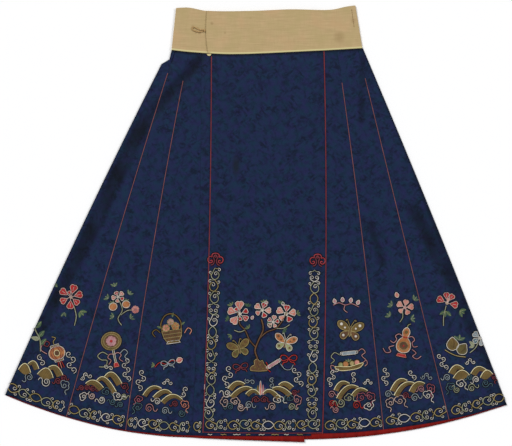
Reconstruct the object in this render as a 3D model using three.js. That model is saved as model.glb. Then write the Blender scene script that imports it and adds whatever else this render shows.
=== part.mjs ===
// A wrap skirt of navy silk damask on a broad cotton waistband, wrapped as it is worn and laid flat with its
// front up. It is two half skirts on one band. Each half has a front panel, five gores and a back panel, and
// the right half lies over the left one, at the front and at the back.
// Millimetres. X runs across the skirt, Y from hem to waist, and Z up from the table. The origin is the
// middle of the underside.
import * as THREE from "three";

// Cloth and seams
const SILK = 1.2; // lined silk with its embroidery
const COTTON = 1.8; // the band, turned in and doubled
const LINING = 0.6;
const SEAM_GAP = 0.3;
const PLY = SILK + SEAM_GAP; // what one more layer adds to the stack
const BAND_PLY = COTTON + SEAM_GAP;
const LINING_PLY = LINING + SEAM_GAP;

// How a layer comes down past the free edge of the one beneath it: from near to far of that edge
const STEP = { near: 4, far: 24 };

// How the front lies over the back
const AIR = 1.8; // between front and back, away from the edges
const AIR_EDGE = 34; // from a side fold to where the air is at its full height
const AIR_LEVELS = { top: 0.06, bottom: 0.9, closed: 0.99 };
const ROLL = { high: 1.3, wide: 16 }; // the soft roll along each side fold
// The left fold is pulled in just below the band: how far at the waist and at its deepest, and the levels where
// it is deepest and where it ends
const NOTCH = { waist: 6.6, deep: 12, full: 0.026, ends: 0.04 };

// The lining shows as a strip inside the back hem, and lifts the front hem
const LINING_STARTS = 0.95;
const HEM_LIFT = { from: 0.9, to: 0.945 };
const LINING_SET_BACK = 5; // from a side fold

// Piping and bindings, as half widths
const EDGE_BINDING = { half: 1.8, high: 0.9, start: 0.008 };
const HEM_BINDING = { thick: 1.4, start: 0.996 };
const PANEL_PIPING = { half: 1.6, high: 0.8, start: 0.004 };
const GORE_PIPING = { half: 1.0, high: 0.6 };

// Lines that run from waist to hem: their X at the waist, halfway down and at the hem
const LINES = {
  left_fold: { waist: -192.5, middle: -379.5, hem: -552.2 },
  left_outer: { waist: -178.2, middle: -302.7, hem: -416.9 },
  left_inner: { waist: -148.1, middle: -224.4, hem: -286.7 },
  under_seam: { waist: -120.8, middle: -125.2, hem: -140.6 },
  under_free: { waist: 125.4, middle: 127.6, hem: 121.0 },
  front_free: { waist: -97.9, middle: -102.7, hem: -116.6 },
  front_seam: { waist: 149.6, middle: 154.0, hem: 146.3 },
  right_inner: { waist: 178.9, middle: 234.3, hem: 280.5 },
  right_outer: { waist: 224.4, middle: 323.8, hem: 424.6 },
  right_fold: { waist: 235.4, middle: 398.2, hem: 552.2 },
  back_over_seam: { waist: -129.6, middle: -136.4, hem: -157.3 },
  back_over_free: { waist: 107.8, middle: 112.2, hem: 106.7 },
  back_under_free: { waist: -94.6, middle: -99.0, hem: -114.4 },
};

// Edges that run across: their Y at each X
const WAIST_EDGE = [
  { x: -186, y: 382.8 },
  { x: -145, y: 378.4 },
  { x: -57, y: 373.4 },
  { x: 75, y: 378.0 },
  { x: 234, y: 386.8 },
];
const BAND_TOP = [
  { x: -174, y: 475.2 },
  { x: -148, y: 476.2 },
  { x: -108, y: 468.8 },
  { x: -13, y: 468.4 },
  { x: 75, y: 471.9 },
  { x: 163, y: 471.2 },
  { x: 200, y: 478.5 },
  { x: 219, y: 480.8 },
];
const LEFT_HEM = [
  { x: -552.2, front: -374.0, back: -376.9 },
  { x: -497.2, front: -396.2, back: -398.8 },
  { x: -418.0, front: -422.8, back: -425.4 },
  { x: -312.4, front: -449.2, back: -452.0 },
  { x: -211.2, front: -462.0, back: -466.4 },
  { x: -140.8, front: -465.3, back: -470.4 },
  { x: -35.2, front: -466.4, back: -475.2 },
  { x: 121.0, front: -466.0, back: -480.8 },
];
const RIGHT_HEM = [
  { x: -116.6, front: -458.6, back: -470.0 },
  { x: -35.2, front: -460.2, back: -473.0 },
  { x: 106.7, front: -460.8, back: -474.3 },
  { x: 195.8, front: -459.4, back: -471.2 },
  { x: 277.2, front: -452.3, back: -463.4 },
  { x: 374.0, front: -439.2, back: -447.7 },
  { x: 468.6, front: -420.6, back: -424.4 },
  { x: 552.2, front: -396.4, back: -398.6 },
];

// The band: X of its side folds and of its outer end, at its lower and upper edge, and of its hidden end
const BAND_LEFT = { low: -185.9, high: -176.0 };
const BAND_RIGHT = { low: 234.3, high: 218.9 };
const BAND_OUTER_END = { low: -105.6, high: -107.8, bow: 3.3 };
const BAND_INNER_END = LINES.under_free.waist;
const BAND_CORNER = { left: -109.2, right: -98.4, drop: 5.2, rounded: 2.4, thick: 1.5 };

// The button loop: a twisted cotton cord whose ends are sewn into a knot at the band's outer end
const LOOP_CORD = 1.6;
const LOOP_Z = COTTON + BAND_PLY + SEAM_GAP + LOOP_CORD / 2;
const KNOT = { x: -112.9, y: 425.4, wide: 4.6, long: 6.4, high: 3.0 };
const LOOP = [
  { x: -115.8, y: 426.8 },
  { x: -121.4, y: 427.0 },
  { x: -126.6, y: 428.2 },
  { x: -131.2, y: 430.6 },
  { x: -135.2, y: 432.8 },
  { x: -138.6, y: 432.6 },
  { x: -140.4, y: 430.0 },
  { x: -139.4, y: 427.2 },
  { x: -136.2, y: 425.2 },
  { x: -131.6, y: 423.6 },
  { x: -126.6, y: 422.6 },
  { x: -121.4, y: 422.8 },
  { x: -115.8, y: 424.2 },
];

// The largest folds of the front: soft troughs along straight stretches
const TROUGHS = [
  { x0: -122, y0: 366, x1: -167, y1: 312, wide: 20, deep: 1.5 },
  { x0: -167, y0: 312, x1: -235, y1: 236, wide: 22, deep: 1.2 },
  { x0: 222, y0: 372, x1: 243, y1: 306, wide: 18, deep: 1.1 },
  { x0: 268, y0: -2, x1: 280, y1: -92, wide: 14, deep: 0.7 },
  { x0: 328, y0: 70, x1: 420, y1: -108, wide: 22, deep: 1.2 },
  { x0: 420, y0: -108, x1: 477, y1: -240, wide: 22, deep: 1.0 },
];

// Levels down the skirt, from the waist (0) to the hem (1)
const FRONT_LEVELS = [
  ...[0, NOTCH.full, NOTCH.ends, 0.085, 0.15, 0.22, 0.3, 0.38, 0.46, 0.54, 0.62, 0.7, 0.78, 0.85],
  ...[HEM_LIFT.from, HEM_LIFT.to, 1],
];
const BACK_LEVELS = [0, 0.1, 0.25, 0.4, 0.55, 0.7, 0.85, 1];
const BAND_LEVELS = [1, 0.85, 0.6, 0.3, 0];
const COLUMN = 30; // widest column of a panel
const SKIRT_LENGTH = WAIST_EDGE[2].y - RIGHT_HEM[1].front;
const TURN = [Math.PI / 4, Math.PI / 2, (3 * Math.PI) / 4]; // stations round a fold

const { clamp, lerp, smoothstep } = THREE.MathUtils;
const ramp = (x, low, high) => clamp((x - low) / (high - low), 0, 1);
const range = (count) => Array.from({ length: count }, (_, i) => i);

// A smooth curve through a table's rows: one column's value at x
function along(table, column, x) {
  const next = table.findIndex((row) => row.x > x);
  const i = next < 0 ? table.length - 2 : Math.max(next - 1, 0);
  const [a, b] = [table[i], table[i + 1]];
  const slope = (j) => {
    const [p, q] = [table[Math.max(j - 1, 0)], table[Math.min(j + 1, table.length - 1)]];
    return (q[column] - p[column]) / (q.x - p.x);
  };
  const span = b.x - a.x;
  const t = (x - a.x) / span;
  const rise = t * t * (3 - 2 * t);
  const lead = t * (1 - t) * span;
  return a[column] + rise * (b[column] - a[column]) + lead * ((1 - t) * slope(i) - t * slope(i + 1));
}

// X of a waist-to-hem line at a level, on the parabola through its three sizes
function lineX(name, level) {
  const { waist, middle, hem } = LINES[name];
  const bow = 2 * (waist + hem - 2 * middle);
  const notch =
    lerp(NOTCH.waist, NOTCH.deep, ramp(level, 0, NOTCH.full)) * (1 - ramp(level, NOTCH.full, NOTCH.ends));
  return waist + (hem - waist - bow) * level + bow * level * level + (name === "left_fold" ? notch : 0);
}

// Y at a level, for cloth whose X is topX at the waist and hemX at the hem
function drop(hem, side, level, topX, hemX) {
  return lerp(along(WAIST_EDGE, "y", topX) - SEAM_GAP, along(hem, side, hemX), level);
}

const lineY = (hem, side, line, level) => drop(hem, side, level, lineX(line, 0), lineX(line, 1));

// How far the front sinks at a point because of one trough
function sink({ x0, y0, x1, y1, wide, deep }, x, y) {
  const [dx, dy] = [x1 - x0, y1 - y0];
  const t = clamp(((x - x0) * dx + (y - y0) * dy) / (dx * dx + dy * dy), 0, 1);
  return deep * (1 - smoothstep(Math.hypot(x - x0 - t * dx, y - y0 - t * dy), 0, wide));
}

// Height of the front above the layers beneath it
function puff(x, y, level) {
  const fromFolds = Math.min(x - lineX("left_fold", level), lineX("right_fold", level) - x);
  const room =
    smoothstep(fromFolds, 0, AIR_EDGE) *
    ramp(level, 0, AIR_LEVELS.top) *
    (1 - ramp(level, AIR_LEVELS.bottom, AIR_LEVELS.closed));
  const sunk = TROUGHS.reduce((sum, trough) => sum + sink(trough, x, y), 0);
  return room * Math.max(AIR - sunk, 0);
}

// A layer climbs onto a free edge that lies to its right, and comes down past one that lies to its left
const climb = (line, x, level) => ramp(x, lineX(line, level) - STEP.far, lineX(line, level) - STEP.near);
const descend = (line, x, level) => ramp(x, lineX(line, level) + STEP.near, lineX(line, level) + STEP.far);

// Undersides of the layers, from the table up
const onTable = () => 0;
const onBackUnder = (x, y, level) => PLY * climb("back_under_free", x, level);
function frontUnder(x, y, level) {
  const backs = climb("back_under_free", x, level) - descend("back_over_free", x, level);
  const lifted = LINING_PLY * ramp(level, HEM_LIFT.from, HEM_LIFT.to);
  return PLY * (1 + backs) + lifted + puff(x, y, level);
}
const frontOver = (x, y, level) => frontUnder(x, y, level) + PLY * (1 - descend("under_free", x, level));

function named(name, geometry, material) {
  const mesh = new THREE.Mesh(geometry, material);
  mesh.name = name;
  return mesh;
}

// A closed wall of cloth. section(level) is its centre line as points {x, y, z}, and the wall's thickness
// lies half on each side of it.
function wall(name, levels, thickness, section, material) {
  const rows = levels.map(section);
  const across = rows[0].length - 1;
  const down = levels.length - 1;
  const geometry = new THREE.BoxGeometry(1, 1, 1, across, down, 1);
  const points = geometry.attributes.position;
  for (let i = 0; i < points.count; i++) {
    const u = Math.round((points.getX(i) + 0.5) * across);
    const row = rows[Math.round((0.5 - points.getY(i)) * down)];
    const [here, last, next] = [row[u], row[Math.max(u - 1, 0)], row[Math.min(u + 1, across)]];
    const out = (points.getZ(i) * thickness) / Math.hypot(next.x - last.x, next.z - last.z);
    points.setXYZ(i, here.x - out * (next.z - last.z), here.y, here.z + out * (next.x - last.x));
  }
  return named(name, geometry, material);
}

// A flat panel between its stations: lines that it follows, each with a shift across
function panel(name, stations, layer, { hem, side, levels, material, thickness = SILK, bottom = 1 }) {
  const stationX = ({ line, shift = 0 }, level) => lineX(line, level) + shift;
  const columns = stations.slice(1).flatMap((to, i) => {
    const from = stations[i];
    const count = Math.ceil((stationX(to, 1) - stationX(from, 1)) / COLUMN);
    return range(count).map((j) => (level) => lerp(stationX(from, level), stationX(to, level), j / count));
  });
  columns.push((level) => stationX(stations.at(-1), level));
  const section = (level) =>
    columns.map((x) => {
      const at = { x: x(level), y: drop(hem, side, level, x(0), x(1)) };
      return { ...at, z: layer(at.x, at.y, level) + thickness / 2 };
    });
  return wall(name, levels, thickness, section, material);
}

// The gore that wraps a side fold, from its back seam to its front one. way is -1 on the left, 1 on the right.
const SIDE_COLUMNS = [0, 0.28, 0.54, 0.76, 0.92, 1]; // from seam to fold
function sideGore(name, fold, seam, way, hem, material) {
  const section = (level) => {
    const edge = lineX(fold, level) - (way * SILK) / 2;
    const centreZ = SILK / 2;
    const place = (x, side) => {
      const share = (x - lineX(fold, level)) / (lineX(seam, level) - lineX(fold, level));
      const at = (l) => lerp(lineX(fold, l), lineX(seam, l), share);
      return { x, y: drop(hem, side, level, at(0), at(1)) };
    };
    const radius = (PLY + LINING_PLY * ramp(level, HEM_LIFT.from, HEM_LIFT.to) + ROLL.high) / 2;
    const start = edge - way * radius;
    const flat = SIDE_COLUMNS.map((share) => lerp(lineX(seam, level) + (way * SEAM_GAP) / 2, start, share));
    const front = flat.map((x) => {
      const at = place(x, "front");
      const roll = ROLL.high * (1 - smoothstep(Math.abs(x - start), 0, ROLL.wide));
      const lifted = PLY + LINING_PLY * ramp(level, HEM_LIFT.from, HEM_LIFT.to);
      return { ...at, z: centreZ + lifted + puff(x, at.y, level) * (x === start ? 0 : 1) + roll };
    });
    const back = flat.map((x) => ({ ...place(x, "back"), z: centreZ }));
    const turn = TURN.map((angle, i) => ({
      x: start + way * radius * Math.sin(angle),
      y: lerp(front.at(-1).y, back.at(-1).y, (i + 1) / (TURN.length + 1)),
      z: centreZ + radius * (1 + Math.cos(angle)),
    }));
    const path = [...front, ...turn, ...back.reverse()];
    return way < 0 ? path.reverse() : path;
  };
  return wall(name, FRONT_LEVELS, SILK, section, material);
}

// A round cord laid down the skirt: centre(level) is its middle
function cordDown(name, levels, { half, high }, centre, material) {
  const steps = levels.length - 1;
  const geometry = new THREE.CylinderGeometry(1, 1, 1, 8, steps);
  const points = geometry.attributes.position;
  for (let i = 0; i < points.count; i++) {
    const at = centre(levels[Math.round((0.5 - points.getY(i)) * steps)]);
    points.setXYZ(i, at.x + half * points.getX(i), at.y, at.z + high * points.getZ(i));
  }
  return named(name, geometry, material);
}

// Piping that lies on the seam along a line of the front
function piping(name, line, size, hem, start, material) {
  const levels = [start, ...FRONT_LEVELS.filter((level) => level > start)];
  const centre = (level) => {
    const at = { x: lineX(line, level), y: lineY(hem, "front", line, level) };
    return { ...at, z: frontUnder(at.x, at.y, level) + PLY + size.high };
  };
  return cordDown(name, levels, size, centre, material);
}

// The binding wraps the free edge of the front panel
function edgeBinding(material) {
  const levels = [EDGE_BINDING.start, ...FRONT_LEVELS.filter((level) => level > EDGE_BINDING.start)];
  const centre = (level) => {
    const at = { x: lineX("front_free", level), y: lineY(RIGHT_HEM, "front", "front_free", level) };
    return { ...at, z: frontOver(at.x, at.y, level) + EDGE_BINDING.high };
  };
  return cordDown("binding_front_edge", levels, EDGE_BINDING, centre, material);
}

// The band is one strip: from its outer end across the front, round the right fold, across the back, round
// the left fold and on behind the front
const BAND_OUTER_COLUMNS = 8;
const BAND_BACK_COLUMNS = [0, 0.04, 0.35, 0.65, 0.96, 1];
const BAND_INNER_COLUMNS = [0, 0.06, 0.3, 0.55, 0.8, 1];
function waistband(material) {
  const backZ = COTTON / 2;
  const radius = (BAND_PLY + ROLL.high) / 2;
  const roll = (x, start) => ROLL.high * (1 - smoothstep(Math.abs(x - start), 0, ROLL.wide));
  const round = (start, way) =>
    TURN.map((angle) => ({
      x: start + way * radius * Math.sin(angle),
      z: backZ + radius * (1 + way * Math.cos(angle)),
    }));
  const path = (height) => {
    const right = lerp(BAND_RIGHT.low, BAND_RIGHT.high, height) - COTTON / 2 - radius;
    const left = lerp(BAND_LEFT.low, BAND_LEFT.high, height) + COTTON / 2 + radius;
    const bow = BAND_OUTER_END.bow * 4 * height * (1 - height);
    const end = lerp(BAND_OUTER_END.low, BAND_OUTER_END.high, height) - bow;
    const [near, far] = [BAND_INNER_END + STEP.near, BAND_INNER_END + STEP.far];
    const outer = [
      ...range(BAND_OUTER_COLUMNS).map((i) => lerp(end, near, i / BAND_OUTER_COLUMNS)),
      ...[near, far, lerp(far, right, 0.5), right - ROLL.wide, right - ROLL.wide / 2, right],
    ];
    return [
      ...outer.map((x) => ({ x, z: backZ + BAND_PLY * (2 - ramp(x, near, far)) + roll(x, right) })),
      ...round(right, 1),
      ...BAND_BACK_COLUMNS.map((share) => ({ x: lerp(right, left, share), z: backZ })),
      ...round(left, -1),
      ...BAND_INNER_COLUMNS.map((share) => {
        const x = lerp(left, BAND_INNER_END, share);
        return { x, z: backZ + BAND_PLY + roll(x, left) };
      }),
    ];
  };
  const [low, high] = [path(0), path(1)];
  const section = (height) =>
    path(height).map((at, u) => {
      const y = lerp(along(WAIST_EDGE, "y", low[u].x), along(BAND_TOP, "y", high[u].x), height);
      return { ...at, y };
    });
  return wall("waistband", BAND_LEVELS, COTTON, section, material);
}

// The corner of the band's outer end that hangs below its edge
function bandCorner(material) {
  const { left, right, drop: deep, rounded, thick } = BAND_CORNER;
  const shape = new THREE.Shape();
  shape.moveTo(right, -SEAM_GAP);
  shape.lineTo(left, -SEAM_GAP);
  shape.lineTo(left + rounded, rounded - deep);
  shape.quadraticCurveTo(left + 2 * rounded, -deep, right - rounded, -deep);
  shape.quadraticCurveTo(right, -deep, right, rounded - deep);
  const geometry = new THREE.ExtrudeGeometry(shape, { depth: thick, bevelEnabled: false, curveSegments: 4 });
  const mesh = named("band_corner", geometry, material);
  mesh.position.set(0, along(WAIST_EDGE, "y", right) - SEAM_GAP, 3 * PLY);
  return mesh;
}

function loopCord(material) {
  const path = new THREE.CatmullRomCurve3(LOOP.map(({ x, y }) => new THREE.Vector3(x, y, LOOP_Z)));
  const section = new THREE.Shape().absarc(0, 0, LOOP_CORD / 2, 0, 2 * Math.PI);
  const options = { extrudePath: path, steps: 24, curveSegments: 4, bevelEnabled: false };
  return named("loop_cord", new THREE.ExtrudeGeometry(section, options), material);
}

function bandKnot(material) {
  const geometry = new THREE.SphereGeometry(0.5, 12, 8).scale(KNOT.wide, KNOT.long, KNOT.high);
  const mesh = named("band_knot", geometry, material);
  mesh.position.set(KNOT.x, KNOT.y, COTTON + BAND_PLY + SEAM_GAP + KNOT.high / 2);
  return mesh;
}

// Materials
const cloth = (color, roughness) => new THREE.MeshStandardMaterial({ color, roughness, metalness: 0 });
const navySilk = cloth("#212b48", 0.5);
const redSilk = cloth("#6e1a15", 0.6);
const redBinding = cloth("#8c2f31", 0.6);
const rawCotton = cloth("#bba178", 0.9);
const twistedCotton = cloth("#7d5f38", 0.9);

const skirt = new THREE.Group();
const at = (line, shift) => ({ line, shift });
const half = SEAM_GAP / 2;
const onBackFree = [at("back_under_free", -STEP.far), at("back_under_free", -STEP.near)];
const pastBackFree = [at("back_over_free", STEP.near), at("back_over_free", STEP.far)];
const pastUnderFree = at("under_free", STEP.near);

// Left half
const leftFront = { hem: LEFT_HEM, side: "front", levels: FRONT_LEVELS, material: navySilk };
const leftBack = { hem: LEFT_HEM, side: "back", levels: BACK_LEVELS, material: navySilk };
const underPanel = [at("under_seam", half), ...onBackFree, pastBackFree[0], at("under_free", -half)];
const overPanel = [at("back_over_seam", half), ...onBackFree, at("back_over_free", -half)];
skirt.add(
  sideGore("gore_left_side", "left_fold", "left_outer", -1, LEFT_HEM, navySilk),
  panel("gore_left_2", [at("left_outer", half), at("left_inner", -half)], frontUnder, leftFront),
  panel("gore_left_1", [at("left_inner", half), at("under_seam", -half)], frontUnder, leftFront),
  panel("front_panel_under", underPanel, frontUnder, leftFront),
  panel("gore_left_4", [at("left_outer", half), at("left_inner", -half)], onTable, leftBack),
  panel("gore_left_5", [at("left_inner", half), at("back_over_seam", -half)], onTable, leftBack),
  panel("back_panel_over", overPanel, onBackUnder, leftBack),
);

// Right half
const rightFront = { hem: RIGHT_HEM, side: "front", levels: FRONT_LEVELS, material: navySilk };
const rightBack = { hem: RIGHT_HEM, side: "back", levels: BACK_LEVELS, material: navySilk };
const boundEdge = EDGE_BINDING.half + SEAM_GAP;
const frontPanel = [
  at("front_free", boundEdge),
  pastBackFree[0],
  pastUnderFree,
  pastBackFree[1],
  at("front_seam", -half),
];
const panelLevels = [...FRONT_LEVELS.slice(0, -1), HEM_BINDING.start];
const bindingLevels = [HEM_BINDING.start + SEAM_GAP / SKIRT_LENGTH, 1];
const hemBinding = { ...rightFront, levels: bindingLevels, thickness: HEM_BINDING.thick, material: redBinding };
skirt.add(
  sideGore("gore_right_side", "right_fold", "right_outer", 1, RIGHT_HEM, navySilk),
  panel("gore_right_2", [at("right_inner", half), at("right_outer", -half)], frontUnder, rightFront),
  panel("gore_right_1", [at("front_seam", half), at("right_inner", -half)], frontUnder, rightFront),
  panel("front_panel", frontPanel, frontOver, { ...rightFront, levels: panelLevels }),
  panel("binding_front_hem", frontPanel, frontOver, hemBinding),
  panel("gore_right_4", [at("right_inner", half), at("right_outer", -half)], onTable, rightBack),
  panel("gore_right_5", [at("front_seam", half), at("right_inner", -half)], onTable, rightBack),
  panel("back_panel", [at("back_under_free", half), at("front_seam", -half)], onTable, rightBack),
);

// Lining, where it shows past the front hem
const liningLevels = [LINING_STARTS, 1];
const lining = { side: "back", levels: liningLevels, thickness: LINING, material: redSilk };
const liningLeft = [at("left_fold", LINING_SET_BACK), ...onBackFree, at("back_over_free", -half)];
const liningRight = [at("back_over_free", half), at("right_fold", -LINING_SET_BACK)];
skirt.add(
  panel("lining_left", liningLeft, (x, y, level) => onBackUnder(x, y, level) + PLY, { ...lining, hem: LEFT_HEM }),
  panel("lining_right", liningRight, () => PLY, { ...lining, hem: RIGHT_HEM }),
);

// Red piping on the front seams, and the binding of the front panel's free edge
skirt.add(
  edgeBinding(redBinding),
  piping("piping_front_seam", "front_seam", PANEL_PIPING, RIGHT_HEM, PANEL_PIPING.start, redBinding),
  piping("piping_left_outer", "left_outer", GORE_PIPING, LEFT_HEM, 0.062, redBinding),
  piping("piping_left_inner", "left_inner", GORE_PIPING, LEFT_HEM, 0.076, redBinding),
  piping("piping_right_inner", "right_inner", GORE_PIPING, RIGHT_HEM, 0.087, redBinding),
  piping("piping_right_outer", "right_outer", GORE_PIPING, RIGHT_HEM, 0.08, redBinding),
);

// Band
skirt.add(
  waistband(rawCotton),
  bandCorner(rawCotton),
  bandKnot(twistedCotton),
  loopCord(twistedCotton),
);

export default skirt;
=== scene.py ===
# %% [markdown]
# # A silk wrap skirt, laid flat
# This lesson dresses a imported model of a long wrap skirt. The real one is two half skirts of navy silk damask
# on a broad cotton band. Red piping marks its seams, and silk embroidery runs round the hem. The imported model
# fixes every size and place, and each cell below puts one finished piece over it.

# %% Load the frame
import math

import bmesh
import bpy
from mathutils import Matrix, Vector, noise
from mathutils.bvhtree import BVHTree


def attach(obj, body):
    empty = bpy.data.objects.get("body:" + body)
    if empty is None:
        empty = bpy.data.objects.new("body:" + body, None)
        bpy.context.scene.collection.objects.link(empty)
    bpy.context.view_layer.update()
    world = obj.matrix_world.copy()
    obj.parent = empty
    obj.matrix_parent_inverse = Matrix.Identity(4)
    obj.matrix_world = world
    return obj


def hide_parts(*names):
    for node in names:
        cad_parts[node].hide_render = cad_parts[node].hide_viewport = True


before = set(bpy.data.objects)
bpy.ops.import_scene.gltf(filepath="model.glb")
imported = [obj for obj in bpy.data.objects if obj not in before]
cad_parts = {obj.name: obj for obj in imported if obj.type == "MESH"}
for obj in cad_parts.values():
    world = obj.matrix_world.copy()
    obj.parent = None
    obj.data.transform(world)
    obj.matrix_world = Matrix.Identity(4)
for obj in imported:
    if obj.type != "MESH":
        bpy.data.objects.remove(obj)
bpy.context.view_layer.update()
MM = 0.001
print("The packed skirt has", len(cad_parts), "nodes")

# %% [markdown]
# ## Camera
# A flat garment is photographed from straight above, on a long lens, so that its edges aren't distorted. One
# pixel of the picture is 2.2 mm of cloth, and the lens and the picture's width give the camera's height. A
# view without perspective would do nearly as well.

# %% Camera
PICTURE_WIDTH = 512 * 2.2 * MM
LENS = 80
SENSOR = 36
CLOTH_LEVEL = 4 * MM
VIEW_CENTRE_Y = 2.2 * MM

camera = bpy.data.objects.new("camera", bpy.data.cameras.new("camera"))
camera.data.lens = LENS
camera.data.sensor_width = SENSOR
camera.location = (0, VIEW_CENTRE_Y, PICTURE_WIDTH * LENS / SENSOR + CLOTH_LEVEL)
bpy.context.scene.collection.objects.link(camera)
bpy.context.scene.camera = camera
bpy.context.scene.view_settings.view_transform = "Standard"
print("Camera height:", round(camera.location.z, 3), "m")

# %% [markdown]
# ## Colours and nodes
# Every colour is written as a hex code, as a dyer's chart gives it, and one function turns it into the linear
# values that the shader needs. One more function adds a node with its settings and its links.

# %% Helpers for materials
def linear(code, alpha=1.0):
    """An sRGB hex code as a linear colour."""
    channels = [int(code[i:i + 2], 16) / 255 for i in (1, 3, 5)]
    return [c / 12.92 if c <= 0.04045 else ((c + 0.055) / 1.055) ** 2.4 for c in channels] + [alpha]


def node(tree, kind, inputs=None, **settings):
    """Adds a node. An input that is a socket is linked, and any other value is set."""
    made = tree.nodes.new(kind)
    for name, value in settings.items():
        setattr(made, name, value)
    for name, value in (inputs or {}).items():
        if isinstance(value, bpy.types.NodeSocket):
            tree.links.new(value, made.inputs[name])
        else:
            made.inputs[name].default_value = value
    return made


MIX_A, MIX_B, MIX_RESULT = 6, 7, 2  # the colour sockets of a Mix node


def blend(tree, factor, a, b):
    """The colour between a and b, which are hex codes or sockets."""
    a, b = [linear(c) if isinstance(c, str) else c for c in (a, b)]
    made = node(tree, "ShaderNodeMix", {0: factor, MIX_A: a, MIX_B: b}, data_type="RGBA")
    return made.outputs[MIX_RESULT]


def step(tree, value, low, high, out_low=0.0, out_high=1.0):
    """value between low and high, stretched to out_low and out_high."""
    ends = {"Value": value, "From Min": low, "From Max": high, "To Min": out_low, "To Max": out_high}
    return node(tree, "ShaderNodeMapRange", ends).outputs[0]


def maths(tree, operation, *values):
    """The result of one operation on numbers or sockets."""
    return node(tree, "ShaderNodeMath", dict(enumerate(values)), operation=operation).outputs[0]


def vectors(tree, operation, *values, output="Vector"):
    """The result of one operation on vectors or sockets."""
    return node(tree, "ShaderNodeVectorMath", dict(enumerate(values)), operation=operation).outputs[output]


def material(name, roughness, **shader):
    """A new material: its node tree and its shader."""
    made = bpy.data.materials.new(name)
    made.use_nodes = True
    bsdf = made.node_tree.nodes["Principled BSDF"]
    bsdf.inputs["Roughness"].default_value = roughness
    for socket, value in shader.items():
        bsdf.inputs[socket.replace("_", " ")].default_value = value
    return made, made.node_tree, bsdf


def bump(tree, bsdf, height, depth_mm):
    """Raises the surface by height, which runs from 0 to 1, times depth_mm."""
    made = node(tree, "ShaderNodeBump", {"Height": height, "Strength": 1.0, "Distance": depth_mm * MM})
    tree.links.new(made.outputs[0], bsdf.inputs["Normal"])


def position(tree):
    """Where a point of the cloth lies, in metres."""
    return node(tree, "ShaderNodeTexCoord").outputs["Object"]


def mapped(tree, vector, **how):
    """The vector turned and then stretched, so that a pattern runs along the turned axis."""
    return node(tree, "ShaderNodeMapping", {"Vector": vector, **how}, vector_type="TEXTURE").outputs[0]


def grain(tree, vector, size_mm, detail=2.0):
    """Soft noise with grains of size_mm."""
    inputs = {"Vector": vector, "Scale": 1 / (size_mm * MM), "Detail": detail}
    return node(tree, "ShaderNodeTexNoise", inputs).outputs[0]


print("Navy silk in linear values:", [round(c, 3) for c in linear("#1e2a4a")[:3]])

# %% [markdown]
# ## Silk damask
# Damask is woven in one colour. Its figures show because their threads float the other way and catch the
# light differently. Here the figures are small sprigs of leaves, loose dabs and a few larger flowers,
# scattered and mostly slanting. The pattern reads the cloth's own UV map, in metres, so it breaks at every
# seam as cut cloth does. A per-point attribute of each piece darkens the silk with painted shade in its folds
# and troughs and beside its side folds, and with a painted shadow in a thin line under the band. A picture of
# the weave could be laid on instead, but nodes stay sharp at any distance and need no file.

# %% Silk damask
SWAY_SIZE, SWAY_FAR = 20, 5  # the figures are shifted a little, in waves of this size and this far
SPRIG_CELL = 21
LEAF_LONG, LEAF_WIDE, LEAF_OUT = 5.6, 2.6, 4.4
LEAF_TURNS = (0.7, 3.6)
DAB_SIZE, DAB_STRETCH, DAB_SLANTS = 6.5, 1.9, (-0.8, 0.6)
SPOT_CELL = 48
SPOT_SIZE = 11
MARK_MIDDLE, MARK_REACH, MARK_DEEP = (-44, 128, 7.5), (11, 28, 5), 0.7  # a brown mark on the front panel

silk, tree, bsdf = material("indigo silk damask", 0.6, Specular_IOR_Level=0.1, Sheen_Weight=0.03,
                            Sheen_Roughness=0.4)
cloth_uv = node(tree, "ShaderNodeUVMap", uv_map="cloth").outputs[0]
sway = node(tree, "ShaderNodeTexNoise", {"Vector": cloth_uv, "Scale": 1 / (SWAY_SIZE * MM), "Detail": 1.0})
swayed = vectors(tree, "MULTIPLY_ADD", sway.outputs["Color"], (SWAY_FAR * MM,) * 3, cloth_uv)


def cells_of(size_mm):
    """Scattered centres: the way from the nearest one, and its chance colour."""
    inputs = {"Vector": swayed, "Scale": 1 / (size_mm * MM), "Randomness": 1.0}
    made = node(tree, "ShaderNodeTexVoronoi", inputs, voronoi_dimensions="2D")
    away = vectors(tree, "SUBTRACT", swayed, made.outputs["Position"])
    return away, node(tree, "ShaderNodeSeparateColor", {0: made.outputs["Color"]}).outputs


def length_of(vector):
    return vectors(tree, "LENGTH", vector, output="Value")


def most(a, b):
    return maths(tree, "MAXIMUM", a, b)


def times(a, b):
    return maths(tree, "MULTIPLY", a, b)


from_centre, chance = cells_of(SPRIG_CELL)
figure = 0.0
for turn in LEAF_TURNS:
    angle = maths(tree, "MULTIPLY_ADD", chance[0], 1.5, turn)
    turned = node(tree, "ShaderNodeVectorRotate", {"Vector": from_centre, "Angle": angle},
                  rotation_type="Z_AXIS").outputs[0]
    moved = vectors(tree, "SUBTRACT", turned, (LEAF_OUT * MM, 0, 0))
    scaled = vectors(tree, "DIVIDE", moved, (LEAF_LONG * MM, LEAF_WIDE * MM, 1))
    figure = most(figure, step(tree, length_of(scaled), 1.35, 0.35))
figure = times(figure, step(tree, chance[1], 0.0, 0.9, 0.1, 0.5))
dabs = 0.0
for slant in DAB_SLANTS:
    brushed = mapped(tree, swayed, Rotation=(0, 0, slant), Scale=(DAB_STRETCH, 1, 1))
    dabs = most(dabs, step(tree, grain(tree, brushed, DAB_SIZE, 1.8), 0.48, 0.66))
figure = most(figure, times(dabs, step(tree, grain(tree, cloth_uv, 26, 1.0), 0.38, 0.6, 0.12, 0.7)))
from_centre, chance = cells_of(SPOT_CELL)
flower = step(tree, length_of(from_centre), SPOT_SIZE * MM, 0.45 * SPOT_SIZE * MM)
petals = step(tree, grain(tree, cloth_uv, 5, 0.0), 0.36, 0.6, 0.2, 1.0)
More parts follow.
